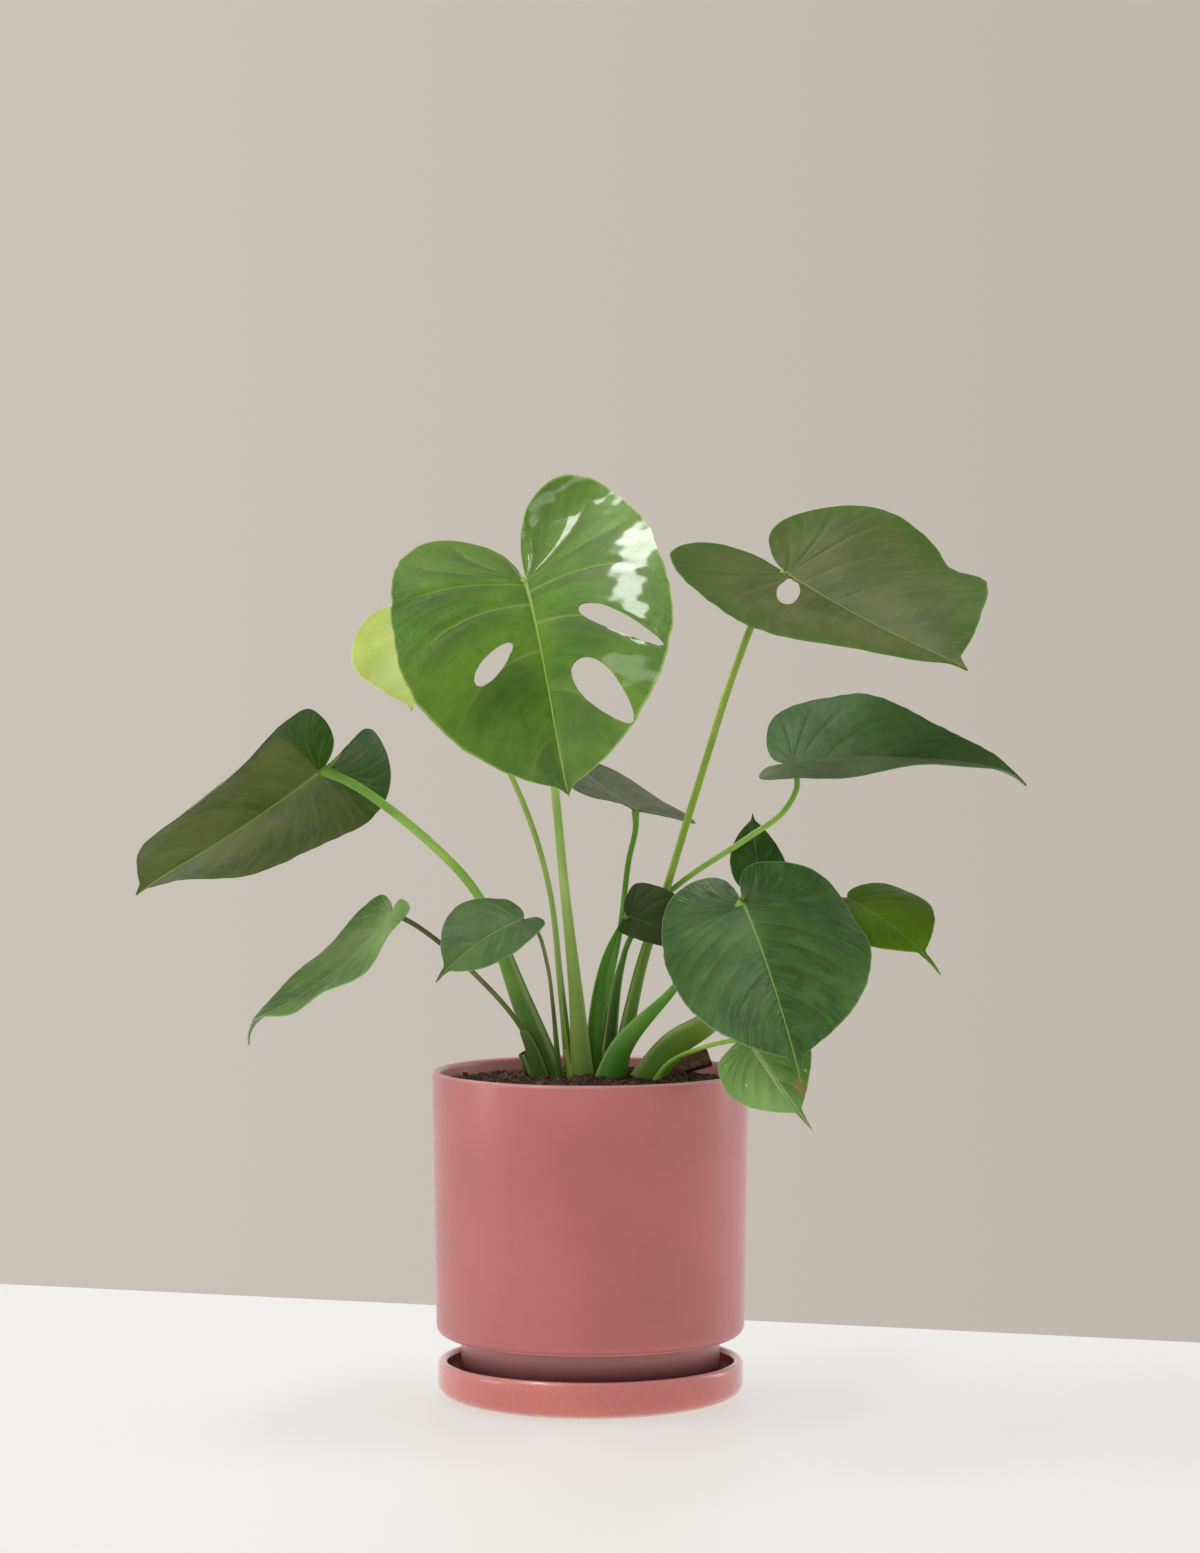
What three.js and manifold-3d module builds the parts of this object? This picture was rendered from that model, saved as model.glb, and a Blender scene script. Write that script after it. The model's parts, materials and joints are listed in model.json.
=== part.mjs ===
// A young monstera in a glazed clay pot that stands on its saucer.
// Millimetres, +Z up. The origin is the centre of the saucer's underside, and -Y is the plant's front.
// Every leaf is one curved blade on one stalk, and each is a separate closed solid.

import * as THREE from 'three';
import { mergeVertices } from 'three/addons/utils/BufferGeometryUtils.js';
import Module from 'manifold-3d';

const wasm = await Module();
wasm.setup();

// ---------- driving dimensions ----------

const GAP = 0.3;                 // clearance between neighbouring solids

const SAUCER_RADIUS = 86.8;
const SAUCER_HEIGHT = 22;
const SAUCER_FLOOR = 6;          // top of the saucer's floor
const SAUCER_FOOT_RADIUS = 70;   // flat underside
const SAUCER_WALL = 5.5;

const POT_RADIUS = 90;           // at the rim
const POT_BASE_RADIUS = 87.5;    // at the bottom of the outer wall
const POT_RIM = 186;             // height of the rim above the table
const POT_SHOULDER = 36;         // underside of the outer wall, where it steps in to the foot
const POT_FOOT_RADIUS = 73.5;
const POT_WALL = 5;
const POT_FLOOR = 7;             // thickness of the pot's floor
const DRAIN_RADIUS = 9;

const SOIL_EDGE = 177.5;         // height of the soil at the pot's wall
const SOIL_CROWN = 183;          // height of the soil at the plant

const BLADE_THICKNESS = 1.2;
const RIB_CROWDING = 1.5;
const SPINE_STEPS = 60;          // along a midrib
const TIP_START = 0.72;          // share of the midrib where the tip's own bend begins
const HOLE_SIDES = 12;
const HOLE_DEPTH = 8;            // half the length of the plug that cuts a window
const NOTCH_FILL = 5;            // how far back a stalk's end stays under its blade
const ROUND_SEGMENTS = 40;       // around the pot and the saucer
const STALK_SIDES = 8;
const STALK_STEP = 20;           // longest step along a stalk

const COLOURS = {
  glaze: 0xb87577,
  pot: 0xb56f6f,
  soil: 0x3a291f,
  fresh: 0x5f8f2f,
  pale: 0x9fb45a,
  dusky: 0x5c6a3c,
  deep: 0x2f5a35,
  olive: 0x55662f,
  silver: 0x6f8f5c,
  lime: 0x6f8a24,
  stalk: 0x86a84c,
  bark: 0x6b4a33,
};

// ---------- leaves ----------
// at      where the blade meets its stalk
// aim     compass direction of the midrib seen from above, dip its slope below level,
//         roll the turn about the midrib (all in degrees)
// length  stalk joint to tip; wide: half-widths right and left; lobe: how far each lobe reaches back
// drip    share of the length taken by the drawn-out tip; widest: where it is widest, as a share
// full    1 is an even heart shape, less is more pointed
// arch, tip, twist, sway   bend of the midrib down its length, extra bend at the tip, twist, sideways bend
// cleft                    how far out the inner edge of each lobe turns, as a share of the half-width
// fold, droop, lift        rise of each half from the midrib, its fall to the margin, bend of each lobe
// route   points that the stalk passes through from the soil up; thick: its radius at the soil and at the top

const LEAVES = [
  {
    name: 'front', colour: 'fresh', at: [-37, -25, 464],
    aim: -80, dip: 27, roll: -24, length: 150, wide: [81, 80], lobe: [41, 52],
    cleft: [0.14, 0.14], drip: 0.04, widest: 0.4, full: 1.15, arch: 56, tip: 8, twist: 1, sway: 18,
    fold: [34, 19], droop: [17, 22], lift: [-4, -48],
    thick: [7, 2.5], rows: 16, columns: 4,
    route: [[-5, -1, 175], [-8, -6, 226], [-15, -13, 295], [-21, -20, 357], [-28, -25, 405]],
    holes: [
      { centre: [28, 72], reach: 18, half: 5.5, turn: 48 },
      { centre: [-50, 69], reach: 31, half: 5, turn: 137 },
      { centre: [-33, 101], reach: 25, half: 9.5, turn: 125 },
    ],
  },
  {
    name: 'back_pale', colour: 'pale', at: [-95, 50, 443],
    aim: -101, dip: 37, roll: -11, length: 74, wide: [44, 43], lobe: [17, 16],
    cleft: [0.14, 0.14], drip: 0.08, widest: 0.21, full: 1, arch: 18, tip: 8, twist: 1, sway: -1,
    fold: [10, 10], droop: [23, 22], lift: [0, 0],
    thick: [4, 1.7], rows: 9, columns: 3,
    route: [[-11, 9, 175], [-17, 14, 233], [-23, 24, 285], [-35, 32, 327], [-60, 44, 380], [-82, 50, 412]],
    holes: [],
  },
  {
    name: 'top_right', colour: 'dusky', at: [111, 20, 469],
    aim: -42, dip: 27, roll: -26, length: 146, wide: [79, 83], lobe: [42, 33],
    cleft: [0.14, 0.14], drip: 0.08, widest: 0.23, full: 1.18, arch: -12, tip: 8, twist: 3, sway: 0,
    fold: [19, 16], droop: [3, 28], lift: [-9, 2],
    thick: [6, 2.4], rows: 16, columns: 4,
    route: [[14, 10, 175], [28, 12, 242], [41, 14, 283], [62, 16, 350], [82, 18, 413], [100, 20, 456]],
    holes: [{ centre: [18, 21], reach: 22, half: 6.5, turn: 38 }],
  },
  {
    name: 'right', colour: 'deep', at: [113, 20, 360],
    aim: -12, dip: -8, roll: -21, length: 140, wide: [58, 59], lobe: [12, 14],
    cleft: [0.14, 0.14], drip: 0.09, widest: 0.25, full: 0.42, arch: 23, tip: 34, twist: 2, sway: -2,
    fold: [20, 15], droop: [18, -3], lift: [0, 3],
    thick: [4.5, 1.9], rows: 13, columns: 3,
    route: [
      [9, 21, 175], [17, 18, 244], [28, 17, 269], [52, 17, 292], [91, 19, 318], [110, 20, 332], [118, 20, 348],
    ],
    holes: [],
  },
  {
    name: 'left', colour: 'olive', at: [-153, 10, 357],
    aim: 178, dip: 37, roll: -38, length: 130, wide: [70, 71], lobe: [38, 20],
    cleft: [0, 0.14], drip: 0.05, widest: 0.22, full: 1.5, arch: -11, tip: 16, twist: 17, sway: 0,
    fold: [15, 17], droop: [22, 58], lift: [-48, -7],
    thick: [6.5, 2.4], rows: 14, columns: 4,
    route: [[-20, 4, 175], [-38, 3, 222], [-63, 5, 284], [-91, 7, 315], [-131, 9, 346]],
    holes: [],
  },
  {
    name: 'left_narrow', colour: 'silver', at: [-112, -30, 278],
    aim: 180, dip: 53, roll: 12, length: 113, wide: [36, 36], lobe: [4, 11],
    cleft: [0.14, 0.14], drip: 0.09, widest: 0.27, full: 1, arch: -35, tip: 87, twist: -3, sway: 2,
    fold: [10, 8], droop: [-1, 25], lift: [2, -2],
    thick: [4, 1.4], rows: 11, columns: 3,
    route: [[-26, -3, 175], [-38, -9, 209], [-68, -19, 245], [-96, -28, 269]],
    holes: [],
  },
  {
    name: 'left_small', colour: 'silver', at: [-38, -55, 275],
    aim: 203, dip: 18, roll: 17, length: 61, wide: [32, 31], lobe: [5, 5],
    cleft: [0.14, 0.14], drip: 0.17, widest: 0.25, full: 1, arch: 34, tip: 5, twist: 34, sway: 1,
    fold: [12, 18], droop: [15, 11], lift: [2, -1],
    thick: [2.4, 1.1], rows: 8, columns: 3,
    route: [[-17, -10, 175], [-21, -30, 225], [-24, -42, 249], [-30, -52, 269]],
    holes: [],
  },
  {
    name: 'back_centre', colour: 'dusky', at: [26, 60, 332],
    aim: 121, dip: -18, roll: -14, length: 97, wide: [45, 45], lobe: [11, 11],
    cleft: [0.14, 0.14], drip: 0.08, widest: 0.21, full: 1, arch: -4, tip: 7, twist: -1, sway: 0,
    fold: [13, 13], droop: [22, 20], lift: [-7, 0],
    thick: [3, 1.5], rows: 9, columns: 3,
    route: [[2, 21, 175], [9, 26, 224], [17, 40, 263], [22, 53, 302], [26, 59, 320]],
    holes: [],
  },
  {
    name: 'centre_small', colour: 'deep', at: [21, -5, 274],
    aim: -17, dip: 16, roll: -50, length: 49, wide: [12, 24], lobe: [2, 5],
    cleft: [0.14, 0.14], drip: 0.08, widest: 0.21, full: 1, arch: 19, tip: 8, twist: 1, sway: 0,
    fold: [2, 15], droop: [17, 17], lift: [0, 1],
    thick: [3.5, 1.3], rows: 8, columns: 3,
    route: [[2, 8, 175], [4, 4, 222], [9, -1, 249], [16, -4, 266]],
    holes: [],
  },
  {
    name: 'front_right', colour: 'deep', at: [84, -70, 286],
    aim: -76, dip: 29, roll: -13, length: 126, wide: [54, 67], lobe: [35, 40],
    cleft: [0.04, 0.1], drip: 0.12, widest: 0.21, full: 1.12, arch: 40, tip: 6, twist: 1, sway: 0,
    fold: [-13, -10], droop: [24, 21], lift: [-6, -7],
    thick: [7, 2.1], rows: 14, columns: 4,
    route: [[9, -8, 175], [19, -18, 202], [46, -40, 235], [64, -57, 258], [77, -68, 276]],
    holes: [],
  },
  {
    name: 'right_upright', colour: 'deep', at: [98, 30, 291],
    aim: 96, dip: -35, roll: 174, length: 55, wide: [17, 17], lobe: [7, 8],
    cleft: [0.14, 0.14], drip: 0.09, widest: 0.21, full: 1, arch: 17, tip: 8, twist: 1, sway: 1,
    fold: [9, 9], droop: [23, 22], lift: [0, 0],
    thick: [3, 1.3], rows: 8, columns: 3,
    route: [[28, 10, 175], [47, 12, 199], [65, 16, 215], [83, 24, 244], [93, 29, 272]],
    holes: [],
  },
  {
    name: 'right_low', colour: 'lime', at: [146, -15, 284],
    aim: -56, dip: 13, roll: -16, length: 86, wide: [33, 34], lobe: [10, 10],
    cleft: [0.14, 0.14], drip: 0.22, widest: 0.22, full: 1, arch: 27, tip: 8, twist: -4, sway: 0,
    fold: [10, 7], droop: [22, 22], lift: [0, 7],
    thick: [6, 1.8], rows: 10, columns: 3,
    route: [[27, -3, 175], [46, -3, 199], [66, -5, 213], [96, -9, 241], [127, -13, 271]],
    holes: [],
  },
  {
    name: 'over_rim', colour: 'silver', at: [88, -75, 210],
    aim: -61, dip: 36, roll: -48, length: 69, wide: [28, 28], lobe: [5, 5],
    cleft: [0.14, 0.14], drip: 0.22, widest: 0.21, full: 0.86, arch: 24, tip: 9, twist: 1, sway: -1,
    fold: [0, 0], droop: [26, 24], lift: [0, 0],
    thick: [2.2, 1.2], rows: 8, columns: 3,
    route: [[32, -12, 175], [44, -24, 192], [60, -43, 202], [79, -67, 209]],
    holes: [],
  },
];

// ---------- small helpers ----------

const degrees = Math.PI / 180;
const vec = (x, y, z) => new THREE.Vector3(x, y, z);
const flat = (x, y) => new THREE.Vector2(x, y);
const lerp = THREE.MathUtils.lerp;
const clamp = THREE.MathUtils.clamp;

// A closed triangle mesh becomes a solid, turned outside out when it was built inside out.
function toSolid(geometry) {
  const bare = geometry.clone();
  bare.deleteAttribute('normal');
  bare.deleteAttribute('uv');
  const merged = mergeVertices(bare, 1e-4);
  const place = merged.getAttribute('position');
  const index = merged.getIndex().array;
  const corner = [vec(0, 0, 0), vec(0, 0, 0), vec(0, 0, 0)];
  const kept = [];
  let volume = 0;
  for (let i = 0; i < index.length; i += 3) {
    const [a, b, c] = [index[i], index[i + 1], index[i + 2]];
    if (a === b || b === c || c === a) continue;
    kept.push(a, b, c);
    corner[0].fromBufferAttribute(place, a);
    corner[1].fromBufferAttribute(place, b);
    corner[2].fromBufferAttribute(place, c);
    volume += corner[0].dot(corner[1].clone().cross(corner[2]));
  }
  if (volume < 0) kept.reverse();
  const mesh = new wasm.Mesh({
    numProp: 3,
    vertProperties: new Float32Array(place.array),
    triVerts: new Uint32Array(kept),
  });
  return new wasm.Manifold(mesh);
}

function toGeometry(solid) {
  const mesh = solid.getMesh();
  const geometry = new THREE.BufferGeometry();
  geometry.setAttribute('position', new THREE.BufferAttribute(mesh.vertProperties, 3));
  geometry.setIndex(new THREE.BufferAttribute(mesh.triVerts, 1));
  const separate = geometry.toNonIndexed();
  separate.computeVertexNormals();
  return separate;
}

// Cuts the given solids away and keeps the largest piece that is left.
function cutClear(solid, others) {
  let rest = solid;
  for (const other of others) rest = rest.subtract(other);
  const pieces = rest.decompose();
  pieces.sort((a, b) => b.volume() - a.volume());
  return pieces[0];
}

function fromTriangles(corners) {
  const geometry = new THREE.BufferGeometry();
  const numbers = corners.flatMap((p) => [p.x, p.y, p.z]);
  geometry.setAttribute('position', new THREE.Float32BufferAttribute(numbers, 3));
  return geometry;
}

// ---------- leaf blades ----------

// Half of the blade's outline laid flat: x from the midrib, y along it, from the notch to the tip.
// A filled outline starts further back, so that it closes the notch over the end of the stalk.
function halfOutline(leaf, side, fill) {
  const width = leaf.wide[side];
  const lobe = leaf.lobe[side];
  const cleft = leaf.cleft[side] * width;
  const widest = leaf.widest * leaf.length;
  const shoulder = leaf.length * (1 - leaf.drip);
  const taper = shoulder - widest;
  const neck = 0.075 * width;
  const back = flat(0.45 * width, -lobe);
  const broad = flat(width, widest);
  const pinch = flat(neck, shoulder);
  const path = new THREE.CurvePath();
  path.add(new THREE.CubicBezierCurve(
    flat(0, -fill), flat(0.03 * width, -0.55 * lobe), flat(cleft, -lobe), back));
  path.add(new THREE.CubicBezierCurve(
    back, flat(0.8 * width, -lobe), flat(width, widest - 0.3 * leaf.length - 0.35 * lobe), broad));
  path.add(new THREE.CubicBezierCurve(
    broad, flat(width, widest + taper * 0.5 * leaf.full),
    flat(0.4 * width * leaf.full, widest + taper * 0.86), pinch));
  path.add(new THREE.LineCurve(pinch, flat(0, leaf.length)));
  return path.getSpacedPoints(leaf.rows);
}

// The blade's middle surface: a function from flat outline coordinates to a point in space.
function bladeSurface(leaf) {
  const { length } = leaf;
  const bendAt = (share) =>
    degrees * (leaf.arch * share + leaf.tip * clamp((share - TIP_START) / (1 - TIP_START), 0, 1) ** 2);
  const spine = [vec(0, 0, 0)];
  for (let i = 0; i < SPINE_STEPS; i += 1) {
    const share = (i + 0.5) / SPINE_STEPS;
    const bend = bendAt(share);
    const sway = degrees * leaf.sway * share;
    const step = vec(Math.sin(sway) * Math.cos(bend), Math.cos(sway) * Math.cos(bend), -Math.sin(bend));
    spine.push(spine[i].clone().addScaledVector(step, length / SPINE_STEPS));
  }
  const aim = leaf.aim * degrees;
  const dip = leaf.dip * degrees;
  const along = vec(Math.cos(aim) * Math.cos(dip), Math.sin(aim) * Math.cos(dip), -Math.sin(dip));
  const across = along.clone().cross(vec(0, 0, 1)).normalize().applyAxisAngle(along, -leaf.roll * degrees);
  const above = across.clone().cross(along);
  const joint = vec(...leaf.at);

  return (u, v) => {
    const side = u < 0 ? 1 : 0;
    const share = clamp(v / length, 0, 1);
    const place = share * SPINE_STEPS;
    const whole = Math.min(Math.floor(place), SPINE_STEPS - 1);
    const centre = spine[whole].clone().lerp(spine[whole + 1], place - whole);
    const bend = bendAt(share);
    const sway = degrees * leaf.sway * share;
    const fold = degrees * leaf.fold[side];
    const curl = degrees * (leaf.droop[side] || 0.01) / leaf.wide[side];
    const from = Math.abs(u);
    const out = (Math.sin(fold) - Math.sin(fold - curl * from)) / curl * (side ? -1 : 1);
    const rise = (Math.cos(fold - curl * from) - Math.cos(fold)) / curl;
    const back = Math.max(-v, 0);
    const turn = degrees * (leaf.lift[side] || 0.01) * back / Math.max(leaf.lobe[side], 1);
    centre.y -= turn ? back * Math.sin(turn) / turn : back;
    centre.z -= turn ? back * (1 - Math.cos(turn)) / turn : 0;
    const twist = degrees * leaf.twist * share;
    const level = out * Math.cos(twist) - rise * Math.sin(twist);
    const up = out * Math.sin(twist) + rise * Math.cos(twist);
    centre.x += level * Math.cos(sway) + up * Math.sin(sway) * Math.sin(bend);
    centre.y += -level * Math.sin(sway) + up * Math.sin(bend) * Math.cos(sway);
    centre.z += up * Math.cos(bend);
    return joint.clone()
      .addScaledVector(across, centre.x)
      .addScaledVector(along, centre.y)
      .addScaledVector(above, centre.z);
  };
}

// The upward direction of the surface at a flat point.
function bladeNormal(surface, u, v) {
  const reach = 0.5;
  const acrossStep = surface(u + reach, v).sub(surface(u - reach, v));
  const alongStep = surface(u, v + reach).sub(surface(u, v - reach));
  return acrossStep.cross(alongStep).normalize();
}

// A blade of the given thickness: ribs run from the midrib to the margin, row by row.
// The ribs start closer together near the stalk, which RIB_CROWDING sets.
function bladeSolid(leaf, thickness, fill) {
  const surface = bladeSurface(leaf);
  const margins = [halfOutline(leaf, 0, fill), halfOutline(leaf, 1, fill)];
  const { rows, columns } = leaf;
  const layers = [thickness / 2, -thickness / 2].map((offset) => {
    const grid = [];
    for (let row = 0; row <= rows; row += 1) {
      const rib = leaf.length * (row / rows) ** RIB_CROWDING;
      const line = [];
      for (let column = -columns; column <= columns; column += 1) {
        const share = Math.abs(column) / columns;
        const edge = margins[column < 0 ? 1 : 0][row];
        const u = Math.sign(column) * lerp(0, edge.x, share);
        const v = lerp(rib, edge.y, share);
        line.push(surface(u, v).addScaledVector(bladeNormal(surface, u, v), offset));
      }
      grid.push(line);
    }
    return grid;
  });
  const [upper, lower] = layers;
  const corners = [];
  const quad = (a, b, c, d) => corners.push(a, b, c, a, c, d);
  for (let row = 0; row < rows; row += 1) {
    for (let column = 0; column < 2 * columns; column += 1) {
      const next = column + 1;
      quad(upper[row][column], upper[row][next], upper[row + 1][next], upper[row + 1][column]);
      quad(lower[row][column], lower[row + 1][column], lower[row + 1][next], lower[row][next]);
    }
    const last = 2 * columns;
    quad(upper[row][0], upper[row + 1][0], lower[row + 1][0], lower[row][0]);
    quad(upper[row][last], lower[row][last], lower[row + 1][last], upper[row + 1][last]);
  }
  let solid = toSolid(fromTriangles(corners));
  for (const hole of leaf.holes) solid = solid.subtract(holeCutter(surface, hole));
  return solid;
}

// A slanting oval plug through the blade, for one of its natural windows.
function holeCutter(surface, hole) {
  const turn = hole.turn * degrees;
  const ring = [];
  for (let i = 0; i < HOLE_SIDES; i += 1) {
    const angle = 2 * Math.PI * i / HOLE_SIDES;
    const long = hole.reach * Math.cos(angle);
    const wide = hole.half * Math.sin(angle);
    const u = hole.centre[0] + long * Math.cos(turn) - wide * Math.sin(turn);
    const v = hole.centre[1] + long * Math.sin(turn) + wide * Math.cos(turn);
    ring.push([u, v]);
  }
  const push = (offset) => ([u, v]) =>
    surface(u, v).addScaledVector(bladeNormal(surface, ...hole.centre), offset);
  const top = ring.map(push(HOLE_DEPTH));
  const bottom = ring.map(push(-HOLE_DEPTH));
  const topCentre = push(HOLE_DEPTH)(hole.centre);
  const bottomCentre = push(-HOLE_DEPTH)(hole.centre);
  const corners = [];
  for (let i = 0; i < HOLE_SIDES; i += 1) {
    const next = (i + 1) % HOLE_SIDES;
    corners.push(topCentre, top[i], top[next]);
    corners.push(bottomCentre, bottom[next], bottom[i]);
    corners.push(top[i], bottom[i], bottom[next], top[i], bottom[next], top[next]);
  }
  return toSolid(fromTriangles(corners));
}

// ---------- stalks ----------

// Radius along a stalk: a broad sheath at the soil that narrows into an even stalk.
const stalkRadius = (thick, share) => lerp(thick[1], thick[0], (1 - share) ** 4);

// A round tube along the route, tapered by moving each ring towards the route's line, and grown by extra.
function taperedTube(points, thick, extra) {
  const route = new THREE.CatmullRomCurve3(points.map((p) => vec(...p)));
  const steps = Math.max(3, Math.ceil(route.getLength() / STALK_STEP));
  const section = new THREE.Shape();
  for (let i = 0; i < STALK_SIDES; i += 1) {
    const angle = 2 * Math.PI * i / STALK_SIDES;
    const point = flat(Math.cos(angle), Math.sin(angle));
    if (i === 0) section.moveTo(point.x, point.y);
    else section.lineTo(point.x, point.y);
  }
  section.closePath();
  const tube = new THREE.ExtrudeGeometry(section, { steps, bevelEnabled: false, extrudePath: route });
  const centres = route.getSpacedPoints(steps);
  const place = tube.getAttribute('position');
  for (let i = 0; i < place.count; i += 1) {
    const corner = vec(0, 0, 0).fromBufferAttribute(place, i);
    let nearest = 0;
    centres.forEach((centre, k) => {
      if (centre.distanceTo(corner) < centres[nearest].distanceTo(corner)) nearest = k;
    });
    const radius = stalkRadius(thick, nearest / steps) + extra;
    const centre = centres[nearest];
    corner.sub(centre).multiplyScalar(radius).add(centre);
    place.setXYZ(i, corner.x, corner.y, corner.z);
  }
  return toSolid(tube);
}

// ---------- pot, saucer and soil ----------

// A round piece: its profile of radius and height is turned about Y, then stood upright.
function lathe(profile) {
  const points = profile.map(([radius, height]) => flat(radius, height));
  const round = new THREE.LatheGeometry(points, ROUND_SEGMENTS);
  round.rotateX(Math.PI / 2);
  return toSolid(round);
}

function saucerSolid() {
  const rim = SAUCER_RADIUS - SAUCER_WALL / 2;
  return lathe([
    [0, 0],
    [SAUCER_FOOT_RADIUS, 0],
    [SAUCER_FOOT_RADIUS + 9, 1.5],
    [SAUCER_RADIUS - 3, 5],
    [SAUCER_RADIUS, 10.5],
    [SAUCER_RADIUS, SAUCER_HEIGHT - 3],
    [rim + 1.6, SAUCER_HEIGHT - 0.7],
    [rim, SAUCER_HEIGHT],
    [rim - 1.6, SAUCER_HEIGHT - 0.7],
    [SAUCER_RADIUS - SAUCER_WALL, SAUCER_HEIGHT - 3],
    [SAUCER_RADIUS - SAUCER_WALL - 1, SAUCER_FLOOR + 4],
    [SAUCER_RADIUS - SAUCER_WALL - 5, SAUCER_FLOOR],
    [0, SAUCER_FLOOR],
  ]);
}

const potFoot = SAUCER_FLOOR + GAP;
const potInside = potFoot + POT_FLOOR;
const innerFoot = POT_FOOT_RADIUS - POT_WALL;
const innerBase = POT_BASE_RADIUS - POT_WALL;
const innerRim = POT_RADIUS - POT_WALL;

function potSolid() {
  const middle = POT_RADIUS - POT_WALL / 2;
  return lathe([
    [DRAIN_RADIUS, potFoot + 2],
    [POT_FOOT_RADIUS - 8, potFoot + 2],
    [POT_FOOT_RADIUS - 7, potFoot],
    [POT_FOOT_RADIUS, potFoot],
    [POT_FOOT_RADIUS, POT_SHOULDER],
    [POT_BASE_RADIUS - 6, POT_SHOULDER],
    [POT_BASE_RADIUS - 1.8, POT_SHOULDER + 1.8],
    [POT_BASE_RADIUS, POT_SHOULDER + 6],
    [POT_RADIUS, POT_RIM - 2.5],
    [POT_RADIUS - 0.8, POT_RIM - 0.7],
    [middle, POT_RIM],
    [innerRim + 0.8, POT_RIM - 0.7],
    [innerRim, POT_RIM - 2.5],
    [innerBase, POT_SHOULDER + 12],
    [innerFoot, POT_SHOULDER + 4],
    [innerFoot, potInside],
    [DRAIN_RADIUS, potInside],
    [DRAIN_RADIUS, potFoot + 2],
  ]);
}

// Height of the soil at a distance from the pot's axis.
const soilHeight = (radius) => lerp(SOIL_CROWN, SOIL_EDGE, (radius / innerRim) ** 2);

function soilSolid() {
  const edge = lerp(innerBase, innerRim, 0.9) - GAP;
  const rings = [edge, 75, 60, 42, 22, 0];
  return lathe([
    [0, potInside + GAP],
    [innerFoot - GAP, potInside + GAP],
    [innerFoot - GAP, POT_SHOULDER + 4 + GAP],
    [innerBase - GAP, POT_SHOULDER + 12 + GAP],
    ...rings.map((radius) => [radius, soilHeight(radius)]),
  ]);
}

// ---------- small pieces at the crown ----------

const CUT_SHEATH = { route: [[-29, 5, 175], [-33, 4, 188], [-37, 3, 196]], thick: [4.5, 2.8] };
const BUD_SHEATH = { route: [[-10, -13, 175], [-12, -14, 188], [-14, -14, 199]], thick: [3, 0.7] };

const BARK = {
  outline: [[-14, -4], [-3, -6], [12, -4], [15, 1], [6, 5], [-9, 4]],
  half: [15, 5],                 // half its length and half its width
  thickness: 6,
  turn: [64, -16, 12],           // about X, then Y, then Z, in degrees
  at: [56, 34, 184.5],
};

// The chunk of bark, grown outwards by the given amount.
function barkSolid(extra) {
  const outline = new THREE.Shape(BARK.outline.map(([x, y]) => flat(x, y)));
  const depth = BARK.thickness + 2 * extra;
  const chunk = new THREE.ExtrudeGeometry(outline, { depth, bevelEnabled: false });
  chunk.scale(1 + extra / BARK.half[0], 1 + extra / BARK.half[1], 1);
  chunk.translate(0, 0, -depth / 2);
  chunk.rotateX(BARK.turn[0] * degrees);
  chunk.rotateY(BARK.turn[1] * degrees);
  chunk.rotateZ(BARK.turn[2] * degrees);
  chunk.translate(...BARK.at);
  return toSolid(chunk);
}

// ---------- assembly ----------

const plant = new THREE.Group();
plant.name = 'potted_monstera';

function add(name, solid, colour, roughness) {
  const material = new THREE.MeshStandardMaterial({ color: COLOURS[colour], roughness, metalness: 0 });
  const mesh = new THREE.Mesh(toGeometry(solid), material);
  mesh.name = name;
  plant.add(mesh);
}

// Stalks from the front of the crown to the back: each one is fitted round those before it.
const crownOrder = [
  'over_rim', 'front_right', 'left_small', 'front', 'right_low', 'left_narrow', 'left',
  'centre_small', 'top_right', 'right_upright', 'back_pale', 'back_centre', 'right',
];
const stalks = [];
const place = (name, route, thick) => {
  const others = stalks.map((stalk) => stalk.wide);
  stalks.push({
    name,
    solid: taperedTube(route, thick, 0),
    wide: taperedTube(route, thick, GAP),
    others,
  });
};
place('bud_sheath', BUD_SHEATH.route, BUD_SHEATH.thick);
for (const name of crownOrder) {
  const leaf = LEAVES.find((one) => one.name === name);
  place(`stalk_${name}`, [...leaf.route, leaf.at], leaf.thick);
}
place('cut_sheath', CUT_SHEATH.route, CUT_SHEATH.thick);

const wideThickness = BLADE_THICKNESS + 2 * GAP;
const wideBlades = LEAVES.map((leaf) => bladeSolid({ ...leaf, holes: [] }, wideThickness, NOTCH_FILL));

add('saucer', saucerSolid(), 'glaze', 0.3);
add('pot', potSolid(), 'pot', 0.5);
add('soil', cutClear(soilSolid(), [...stalks.map((stalk) => stalk.wide), barkSolid(GAP)]), 'soil', 0.95);
for (const stalk of stalks) {
  add(stalk.name, cutClear(stalk.solid, [...stalk.others, ...wideBlades]), 'stalk', 0.5);
}
for (const leaf of LEAVES) {
  add(`leaf_${leaf.name}`, bladeSolid(leaf, BLADE_THICKNESS, 0), leaf.colour, 0.4);
}
add('bark_chunk', barkSolid(0), 'bark', 0.9);

export default plant;
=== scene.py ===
"""A young monstera in a rose-glazed pot on its saucer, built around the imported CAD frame."""
import json
import math
import random

import bmesh
import bpy
import numpy as np
from mathutils import Matrix, Vector


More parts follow.
